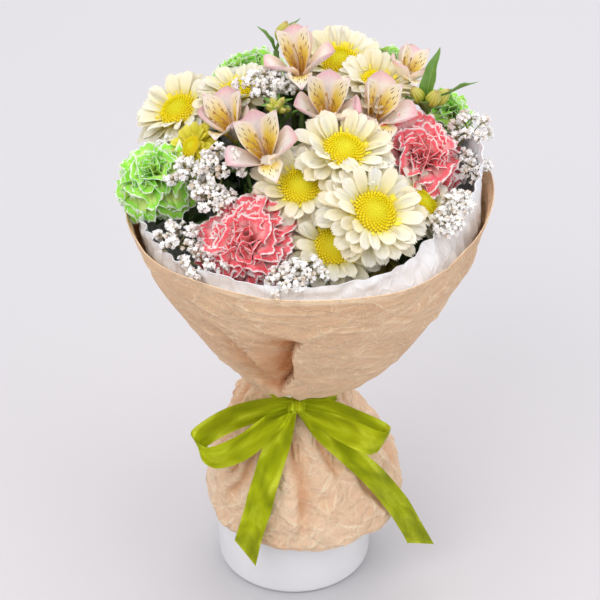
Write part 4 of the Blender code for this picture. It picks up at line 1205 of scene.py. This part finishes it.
def discShells(reach, dome, count, finish):
    # florets on a sunflower spiral over a dome: r = R sqrt(k/n), a = 2.4 k; the inner ones are smaller
    # and shut
    k = np.arange(count) + 0.5
    share = np.sqrt(k / count)
    a = k * 2.39996
    r = reach * share
    z = dome * (1 - share**2.4) - 0.0012 * np.exp(-(share / 0.25) ** 2)
    slope = 0.25 + 1.5 * share**3
    axes = np.stack(
        [np.cos(a) * np.sin(slope * 0.6), np.sin(a) * np.sin(slope * 0.6), np.cos(slope * 0.6)], -1
    )
    places = np.stack([r * np.cos(a), r * np.sin(a), z - 0.0008], -1)
    size = reach * (0.037 + 0.028 * ease((share - 0.25) / 0.5)) * random.uniform(0.85, 1.12, count)
    one = dict(floretShell(), finish=finish)
    florets = copies(one, turnsTo(axes, a), places, size, outward=share, tone=random.random(count))
    q = np.linspace(1, 0.125, 8)
    base = np.stack([reach * q, dome * (1 - q**2.4) - 0.0010], -1)
    under = [(0.4 * reach, -0.006), (0.85 * reach, -0.005), (reach, -0.0028)]
    cushion = turnedShell(np.concatenate([under, base]), 28, finish, outward=0.8)
    # the cushion under the florets gets part of the painted shade at their feet
    cushion["marks"]["along"] = np.full(len(cushion["points"]), 0.25)
    return [florets, cushion]


def makeChrysanthemums():
    heads = {}
    for number, centre, size, lean in chrysanthemum["heads"]:
        shells = []
        for row, (count, *petal) in enumerate(chrysanthemum["rows"]):
            grid = petalGrid(count, *petal, 0.37 * row + number, cup=0.26)
            shells.append(leafShells(grid, chrysanthemum["petal"], 0, tone=random.random((count, 1, 1))))
        count, *tuft = chrysanthemum["tufts"]
        tufts = petalGrid(count, *tuft, 0.1, rows=6, cols=5, cup=0.3, jitter=1.5, narrow=0.8)
        shells.append(leafShells(tufts, 0.0004, 1, outward=1.0, tone=random.random((count, 1, 1))))
        shells += discShells(chrysanthemum["disc"], chrysanthemum["dome"], chrysanthemum["florets"], 1)
        shells.append(turnedShell(chrysanthemum["cup"], 20, 2, ribs=10, ribDepth=0.04, tone=0.7))
        sepals = petalGrid(*chrysanthemum["sepals"], 0.2, rows=6, cols=5, narrow=0.8)
        shells.append(leafShells(sepals, 0.0005, 2, tone=0.6))
        shells = [dict(part, points=part["points"] * size) for part in shells]
        shells = placed(shells, centre, lean, number * 1.3)
        looks = ["yellow" if number in chrysanthemum["yellow"] else "cream", "disc", "freshLeaf"]
        makePiece(
            f"chrysanthemumHead{number}", shells, looks, [f"chrysanthemum_head_{number}"]
        )
        heads[number] = (centre, size, lean)
    for index, numbers in enumerate(chrysanthemum["sprays"]):
        flowers = [heads[n] for n in numbers]
        depths = [chrysanthemum["depth"] * heads[n][1] for n in numbers]
        stemPiece(f"chrysanthemum_stem_{index + 1}", flowers, depths, bunch["chrysanthemum"], 5, 0.040)
    print("chrysanthemums:", len(heads))


carnation = {
    "reach": 0.031, "calyx": 0.017, "petal": 0.0005,
    # petals in a row, length, rise at the foot, turn outward and half fan angle in degrees, ruffle
    "rows": [
        (7, 0.98, 2, -24, 46, 0.12), (7, 0.97, 18, -22, 44, 0.15), (8, 0.93, 34, -24, 42, 0.18),
        (8, 0.86, 50, -24, 40, 0.21), (8, 0.80, 66, -20, 40, 0.22), (7, 0.74, 78, -16, 38, 0.24),
        (6, 0.68, 86, -8, 34, 0.26),
    ],
    # colour, number, centre, the solid head's radius, lean toward X and Y, size
    "heads": [
        ("coral", 1, (-0.035, -0.080, 0.369), 0.028, (-0.30, -0.75), 1.32),
        ("coral", 2, (0.102, 0.010, 0.390), 0.028, (0.62, -0.42), 1.36),
        ("coral", 3, (0.050, 0.121, 0.377), 0.023, (0.40, 0.75), 0.95),
        ("green", 1, (-0.111, 0.000, 0.380), 0.025, (-0.45, -0.20), 1.06),
        ("green", 2, (-0.036, 0.115, 0.407), 0.020, (-0.20, 0.30), 1.00),
        ("green", 3, (0.082, 0.108, 0.419), 0.016, (0.30, 0.30), 0.60),
        ("green", 4, (0.127, 0.075, 0.392), 0.021, (0.70, 0.20), 0.72),
    ],
}


def rufflePetals(count, length, rise, curl, fan, ruffle, foot, spin, rows=13, cols=25):
    # a fan about its claw: x = L s cos(f t), y = L s sin(f t), lifted by ruffles that grow toward a
    # toothed edge
    s = np.linspace(0.10, 1, rows)[None, :, None]
    t = np.linspace(-1, 1, cols)[None, None, :]
    vary = random.normal(0, 1, (6, count, 1, 1))
    phase = random.uniform(0, math.tau, (4, count, 1, 1))
    k = np.arange(count)[:, None, None]
    a = math.tau * k / count + spin + 0.14 * vary[0]
    toothed = (
        0.035 * s**6 * np.sin(8.5 * math.pi * t + phase[0])
        + 0.05 * s**3 * np.sin(2.2 * math.pi * t + phase[1])
    )
    long = length * (1 + 0.07 * vary[1]) * (1 - 0.10 * t * t + toothed)
    f = np.radians(fan) * t * (0.35 + 0.65 * s)
    x, y = long * s * np.cos(f), long * s * np.sin(f) * 1.08
    wave = s**2 * np.sin(3.3 * t + phase[2]) + 0.75 * s**3 * np.sin(7.5 * t + 1.5 * s + phase[3])
    wave = wave + 0.30 * s**5 * np.sin(15 * t + phase[0])
    z = length * (ruffle * wave + 0.10 * vary[2] * t * s + 0.16 * (np.abs(t) - 0.4) * s**1.5)
    tilt = np.radians(rise + 6 * vary[3] + (curl + 6 * vary[4]) * s**2)
    r, h = foot + x * np.cos(tilt) - z * np.sin(tilt), x * np.sin(tilt) + z * np.cos(tilt)
    x, y = r * np.cos(a) - y * np.sin(a), r * np.sin(a) + y * np.cos(a)
    points = np.stack(np.broadcast_arrays(x, y, h), -1)
    edge = np.minimum(1 - s, 0.55 * (1 - np.abs(t)) + 0 * s) + 0 * a
    return points, edge


def makeCarnations():
    for colour, number, centre, radius, lean, scale in carnation["heads"]:
        reach = carnation["reach"] * scale
        shells = []
        for row, (count, long, *form) in enumerate(carnation["rows"]):
            points, edge = rufflePetals(count, reach * long, *form, 0.0015, 0.5 * row + number)
            points[..., 2] -= 0.42 * reach
            tone = random.random((count, 1, 1))
            shells.append(leafShells(points, carnation["petal"], 0, inward=edge, tone=tone))
        low = -0.70 * radius - carnation["calyx"]
        top = -0.36 * reach
        tube = [
            (0.0024, low), (0.0046, low + 0.0015),
            (0.0064, low + 0.006), (0.0070, -0.70 * radius - 0.002),
            (0.0066, top - 0.002), (0.0040, top),
        ]
        shells.append(turnedShell(tube, 20, 1, 5, 0.04, tone=0.8))
        form = (0.0058, 0.0080, 72, 50, top - 0.004, 0.0066)
        teeth = petalGrid(5, *form, 0.3, rows=6, cols=5, jitter=0.3, narrow=0.9)
        shells.append(leafShells(teeth, 0.0006, 1, tone=0.7))
        shells = placed(shells, centre, lean, number * 0.9)
        looks, nodes = [colour, "freshLeaf"], [f"{colour}_carnation_head_{number}"]
        makePiece(f"{colour}CarnationHead{number}", shells, looks, nodes)
        flowers = [(centre, radius, lean)]
        stemPiece(f"{colour}_carnation_stem_{number}", flowers, [low], bunch["carnation"], 6, 0.040)
    print("carnations:", len(carnation["heads"]))


alstroemeria = {
    "depth": -0.026, "length": 0.046,
    # number, centre, lean toward X and Y, size, spin
    "flowers": [
        (1, (-0.024, -0.022, 0.415), (-0.20, -0.35), 1.04, 0.15),
        (2, (-0.053, 0.024, 0.412), (-0.35, -0.15), 0.96, -0.25),
        (3, (0.003, 0.074, 0.438), (-0.10, -0.10), 1.02, 0.10),
        (4, (0.026, 0.020, 0.427), (0.00, -0.35), 1.00, -0.10),
        (5, (0.067, 0.026, 0.421), (0.35, -0.35), 1.00, 0.20),
        (6, (0.093, 0.079, 0.430), (0.35, 0.00), 0.80, 0.0),
    ],
    "sprays": [(1, 2), (3,), (4, 5), (6,)],
}


def lilyPetals(count, length, rise, flare, width, spin, pointed, cup, sag):
    # a blade in a funnel: its direction turns from rise to flare, its half width comes to a point
    s = np.linspace(0, 1, 18)[None, :, None]
    t = np.linspace(-1, 1, 13)[None, None, :]
    vary = random.normal(0, 1, (4, count, 1, 1))
    a = math.tau * np.arange(count)[:, None, None] / count + spin + 0.06 * vary[0]
    low = np.maximum(0, -np.sin(a))  # the petal nearest the front hangs open
    slope = np.radians(
        rise - 0.3 * sag * low + 3 * vary[1] + (flare - rise - sag * low + 6 * vary[2]) * s**1.6
    )
    step = length / 17
    r = 0.0020 + (np.cumsum(np.cos(slope), 1) - np.cos(slope[:, :1])) * step
    z = (np.cumsum(np.sin(slope), 1) - np.sin(slope[:, :1])) * step
    tip = np.maximum(0.03, 1 - np.clip((s - 0.70) / 0.30, 0, 1) ** pointed)
    half = 0.5 * width * (0.16 + 0.84 * np.sin(math.pi * (s / 1.30) ** 1.25)) * tip
    lift = half * (cup * t * t - 0.3 * cup) + 0.05 * half * np.cos(4 * math.pi * t)
    lift = lift + 0.02 * length * np.sin(9 * s + vary[3]) * t * t * s
    side = t * half
    r, z = r - np.sin(slope) * lift, z + np.cos(slope) * lift
    x, y = r * np.cos(a) + side * np.sin(a), r * np.sin(a) - side * np.cos(a)
    return np.stack(np.broadcast_arrays(x, y, z), -1)


def makeAlstroemerias():
    flowers = {}
    for number, centre, lean, size, spin in alstroemeria["flowers"]:
        long = alstroemeria["length"]
        outer = lilyPetals(3, long * 0.96, 70, 42, 0.0265, spin + math.pi / 2, 2.4, 0.50, 22)
        inner = lilyPetals(3, long * 1.02, 78, 58, 0.0190, spin + math.pi / 6, 1.7, 0.35, 46)
        shells = []
        for finish, (grid, thick) in enumerate(((outer, 0.0007), (inner, 0.0006))):
            shells.append(leafShells(grid - (0, 0, 0.0235), thick, finish, tone=random.random((3, 1, 1))))
        for k in range(6):
            a = math.tau * k / 6 + spin + 0.3
            x, y = math.cos(a), math.sin(a)
            tip = (0.007 * x - 0.003, 0.007 * y - 0.004, 0.008)
            line = smoothLine([(0.001 * x, 0.001 * y, -0.022), (0.004 * x, 0.004 * y, -0.006), tip], 12)
            shells.append(tubeShell(line, 0.00045, 6, 2))
            grain = turnedShell(
                [(0.0004, -0.0018), (0.0009, -0.0010), (0.0010, 0.0008), (0.0004, 0.0018)], 8, 2
            )
            shells.append(dict(grain, points=grain["points"] + line[-1]))
        ovary = [
            (0.0018, -0.0262), (0.0032, -0.0248), (0.0038, -0.0215), (0.0030, -0.0185), (0.0020, -0.0175)
        ]
        shells.append(turnedShell(ovary, 18, 3, 6, 0.08))
        shells = [dict(part, points=part["points"] * size) for part in shells]
        for part in shells:
            part["points"][:, 2] += alstroemeria["depth"] * (1 - size)
        looks, nodes = ["lilyOuter", "lilyInner", "anther", "bud"], [f"alstroemeria_flower_{number}"]
        makePiece(f"alstroemeriaFlower{number}", placed(shells, centre, lean), looks, nodes)
        flowers[number] = (centre, size, lean)
    for index, numbers in enumerate(alstroemeria["sprays"]):
        node, chosen = f"alstroemeria_stem_{index + 1}", [flowers[n] for n in numbers]
        depths = [alstroemeria["depth"]] * len(numbers)
        stemPiece(node, chosen, depths, bunch["alstroemeria"], 4, 0.036, "freshLeaf")
    print("alstroemerias:", len(flowers))


budSprigs = [  # buds and leaves: direction and length of each
    {
        "base": (0.104, 0.050, 0.402),
        "buds": [(0.3, -0.4, 1.0, 0.026), (-0.5, 0.0, 1.0, 0.024), (0.8, 0.2, 0.8, 0.024)],
        "leaves": [
            (0.2, 0.3, 1.0, 0.052), (1.0, 0.0, 0.7, 0.048), (-0.2, -0.9, 0.9, 0.034),
            (-0.8, -0.3, 0.8, 0.030),
        ],
    },
    {
        "base": (-0.014, 0.104, 0.426),
        "buds": [(0.3, -0.1, 1.0, 0.028)],
        "leaves": [(0.7, 0.2, 1.0, 0.034), (-0.6, 0.3, 0.8, 0.026)],
    },
]


def budShell(base, direction, length, width, finish):
    # an egg with six shallow ribs, its radius r(s) = sin(pi s^0.85)^0.8 widest near its foot
    s = np.linspace(0.03, 0.97, 14)
    r = 0.5 * width * np.sin(math.pi * s**0.85) ** 0.8
    egg = turnedShell(np.stack([r, s * length], -1), 24, finish, 6, 0.06)
    turn = turnsTo([direction])[0]
    return dict(egg, points=egg["points"] @ turn.T + base)


def makeBudSprigs():
    for number, sprig in enumerate(budSprigs, 1):
        base = np.asarray(sprig["base"])
        points = stemTo(tiePlace(base), base) + [base]
        shells = [stemShell(points, bunch["alstroemeria"], 5)]
        for x, y, z, length in sprig["buds"]:
            axis = unit(np.array([x, y, z]))
            neck = base + axis * 0.30 * length
            stalk = [base, base + axis * 0.15 * length + (0, 0, 0.001), neck]
            shells.append(tubeShell(smoothLine(stalk, 8), 0.0011, 8))
            shells.append(budShell(neck, axis, 0.78 * length, 0.0115, 2))
        for x, y, z, length in sprig["leaves"]:
            foot = base - (0, 0, 0.003)
            shells.append(leafOn(foot, (x, y, z), length, 0.25 * length, -0.10, 0.45, 0.4 * x, 1, tone=0.8))
        looks, nodes = ["stem", "freshLeaf", "bud"], [f"alstroemeria_bud_sprig_{number}"]
        makePiece(f"alstroemeriaBudSprig{number}", shells, looks, nodes)
    print("bud sprigs:", len(budSprigs))


lavender = {
    "floret": 0.0025, "perClump": 15, "clumps": 11, "spread": 1.35, "podSprig": 6,
    "pods": (-0.013, 0.026, 0.418),
    # tip and radius of each cluster on a sprig
    "sprigs": [
        [
            ((-0.078, -0.024, 0.388), 0.011), ((-0.056, -0.030, 0.400), 0.011),
            ((-0.060, -0.050, 0.384), 0.009),
        ],
        [((-0.088, -0.064, 0.356), 0.012), ((-0.066, -0.088, 0.350), 0.011)],
        [((-0.006, -0.112, 0.350), 0.009), ((0.008, -0.106, 0.354), 0.010)],
        [((0.116, -0.052, 0.362), 0.008), ((0.126, -0.030, 0.366), 0.007)],
        [((0.138, 0.042, 0.388), 0.012), ((0.138, 0.020, 0.368), 0.009)],
        [((-0.026, 0.046, 0.426), 0.011), ((-0.012, 0.056, 0.422), 0.009)],
        [((-0.107, 0.042, 0.364), 0.010), ((-0.094, 0.034, 0.374), 0.009)],
    ],
}


def podWhorl(middle, root, finish):
    # nine green pods a golden angle apart round a twig's end, with narrow leaves under them
    shells = [tubeShell(smoothLine([root, (root + middle) / 2, middle], 10), 0.0010, 7)]
    for k in range(9):
        polar, a = 0.35 + 0.16 * k, 2.4 * k
        x, y = math.sin(polar) * math.cos(a), math.sin(polar) * math.sin(a) - 0.25
        axis = unit(np.array([x, y, math.cos(polar)]))
        shells.append(budShell(middle + 0.0012 * axis, axis, 0.0105, 0.0062, finish))
    under = middle - (0, 0, 0.002)
    for k in range(6):
        out = (math.cos(1.05 * k + 0.4), math.sin(1.05 * k + 0.4), 0.7)
        shells.append(leafOn(under, out, 0.017, 0.0055, 0.1, 0.4, 0.2, finish + 1, tone=0.9))
    low = middle + (0.004, -0.004, -0.012)
    shells.append(leafOn(low, (0.85, -0.25, 0.75), 0.030, 0.011, 0.1, 0.4, 0.3, finish + 1, tone=0.6))
    return shells


def makeSeaLavender():
    # each cluster: clumps on a golden spiral round its heart, florets strewn about every clump
    n, m = lavender["clumps"], lavender["perClump"]
    total = 0
    cup = floretShell()
    cup["points"] = cup["points"] * (1, 1, 0.62)
    for number, clusters in enumerate(lavender["sprigs"], 1):
        tips = [np.asarray(tip) for tip, _ in clusters]
        places = [tiePlace(tip) for tip in tips]
        main = sum(places) / len(places)
        fork = onStem(main, min(tip[2] for tip in tips) - bunch["forkDrop"] / 2)
        shells = [stemShell(stemTo(main, fork) + [fork], bunch["lavender"])]
        for tip, (_, radius) in zip(tips, clusters):
            twig = [fork - (0, 0, 0.004), fork + (tip - fork) * 0.5 + (0, 0, 0.003), tip]
            shells.append(tubeShell(smoothLine(twig, 14), 0.0009, 7))
            k = np.arange(n) + 0.5
            a, high = k * 2.4 + random.uniform(0, 6), 1 - 1.25 * k / n
            wide = np.sqrt(1 - high**2)
            clumps = np.stack([wide * np.cos(a), wide * np.sin(a), 0.75 * high], -1)
            clumps = tip + clumps * radius * lavender["spread"] * random.uniform(0.75, 1.15, (n, 1))
            for middle in clumps:
                stalk = [tip - (0, 0, 0.006), (tip + middle) / 2 - (0, 0, 0.001), middle]
                shells.append(tubeShell(smoothLine(stalk, 6), 0.0004, 5))
            away = unit(random.normal(0, 1, (n, m, 3)) + 0.9 * unit(clumps - tip + (0, 0, 0.004))[:, None])
            spots = (clumps[:, None] + away * random.uniform(0.0012, 0.0042, (n, m, 1))).reshape(-1, 3)
            size = lavender["floret"] * random.uniform(0.65, 1.1, n * m)
            axes = away.reshape(-1, 3) + random.normal(0, 0.35, (n * m, 3))
            turns = turnsTo(axes, random.uniform(0, 6, n * m))
            shells.append(copies(dict(cup, finish=1), turns, spots, size, tone=random.random(n * m)))
            total += n * m
        looks, nodes = ["twig", "floret"], [f"sea_lavender_sprig_{number}"]
        if number == lavender["podSprig"]:
            shells += podWhorl(np.asarray(lavender["pods"]), fork, 2)
            looks += ["bud", "freshLeaf"]
        makePiece(f"seaLavenderSprig{number}", shells, looks, nodes)
    print("sea lavender florets:", total)


leafySprigs = [  # leaves: direction and length of each
    {
        "top": (-0.040, -0.042, 0.340),
        "leaves": [
            (-0.9, -0.3, 0.5, 0.046), (-0.5, -0.9, 0.4, 0.046), (-0.4, 0.4, 1.0, 0.046),
            (0.5, -0.9, 0.5, 0.042), (-1.0, 0.5, 0.6, 0.050), (-0.9, -0.9, 0.7, 0.048),
            (0.2, -0.6, 1.0, 0.040),
        ],
    },
    {
        "top": (0.084, -0.062, 0.334),
        "leaves": [
            (0.9, -0.4, 0.5, 0.042), (-0.1, -1.0, 0.4, 0.044), (0.4, 0.5, 1.0, 0.036),
            (-0.9, -0.8, 0.5, 0.044), (0.8, 0.5, 0.7, 0.044), (-0.4, -0.9, 0.8, 0.040),
        ],
    },
]


def makeLeafySprigs():
    for number, sprig in enumerate(leafySprigs, 1):
        top = np.asarray(sprig["top"])
        shells = [stemShell(stemTo(tiePlace(top), top) + [top], bunch["lavender"], 4)]
        for k, (x, y, z, length) in enumerate(sprig["leaves"]):
            foot, roll = top - (0, 0, 0.002 * k), 0.5 * math.sin(3 * k)
            leaf = leafOn(foot, (x, y, z), length, 0.46 * length, 0.35, 0.30, roll, 1 + k % 2, lobes=3)
            shells.append(insideWrap(leaf))
        makePiece(
            f"leafySprig{number}", shells, ["stem", "leaf", "olive"], [f"leafy_sprig_{number}"],
        )
    print("leafy sprigs:", len(leafySprigs))


# the bouquet

makeVase()
kraftCollar = makeCollar()
tissueLiner = makeTissue()
kraftSkirt = makeSkirt()
makeBinding()
satinBow = makeRibbon()
makeChrysanthemums()
makeCarnations()
makeAlstroemerias()
makeBudSprigs()
makeSeaLavender()
makeLeafySprigs()


# studio

studio = {
    "floor": (0.600, 0.590, 0.615), "floorRadius": 5.0, "floorSides": 96, "world": (0.96, 0.95, 0.97),
    "worldPower": 0.84,
    "eye": (0.005, -1.638, 1.404), "aim": (0.005, 0.0, 0.257), "lens": 150, "lampsAim": (0, 0, 0.25),
    # name, place, watts, size, colour
    "lamps": [
        ("key", (-1.1, -1.6, 2.4), 27, 1.9, (1.0, 0.985, 0.965)),
        ("fill", (1.8, -1.1, 1.5), 11, 2.0, (0.97, 0.98, 1.0)),
        ("back", (0.4, 1.6, 2.0), 13, 1.6, (1, 1, 1)),
        ("top", (0.0, 0.1, 2.6), 12, 1.6, (1, 1, 1)),
    ],
}


def aimedAt(thing, place, target):  # put there, its -Z toward the target
    thing.location = place
    thing.rotation_euler = (Vector(target) - Vector(place)).to_track_quat("-Z", "Y").to_euler()
    bpy.context.scene.collection.objects.link(thing)


def makeStudio():
    sides = studio["floorSides"]
    a = np.linspace(0, math.tau, sides, endpoint=False)
    ring = studio["floorRadius"] * np.stack([np.cos(a), np.sin(a), 0 * a], -1)
    floor = bpy.data.meshes.new("studioFloor")
    floor.from_pydata(ring.tolist(), [], [list(range(sides))])
    finish = newFinish("studioGrey", studio["floor"], 0.75)
    shade(finish, "Roughness", sums(finish, "MULTIPLY_ADD", noise(finish, spot(finish), 30), 0.1, 0.7))
    floor.materials.append(finish)
    ground = bpy.data.objects.new("studioFloor", floor)
    bpy.context.scene.collection.objects.link(ground)
    world = bpy.data.worlds.new("studioLight")
    world.use_nodes = True
    world.node_tree.nodes["Background"].inputs["Color"].default_value = (*studio["world"], 1)
    world.node_tree.nodes["Background"].inputs["Strength"].default_value = studio["worldPower"]
    bpy.context.scene.world = world
    for name, place, power, size, colour in studio["lamps"]:
        light = bpy.data.lights.new(name, "AREA")
        light.energy, light.size, light.color = power, size, colour
        aimedAt(bpy.data.objects.new(name, light), place, studio["lampsAim"])
    camera = bpy.data.objects.new("camera", bpy.data.cameras.new("camera"))
    camera.data.lens = studio["lens"]
    camera.data.clip_start, camera.data.clip_end = 0.05, 20
    aimedAt(camera, studio["eye"], studio["aim"])
    bpy.context.scene.camera = camera
    bpy.context.scene.view_settings.view_transform = "Standard"


makeStudio()
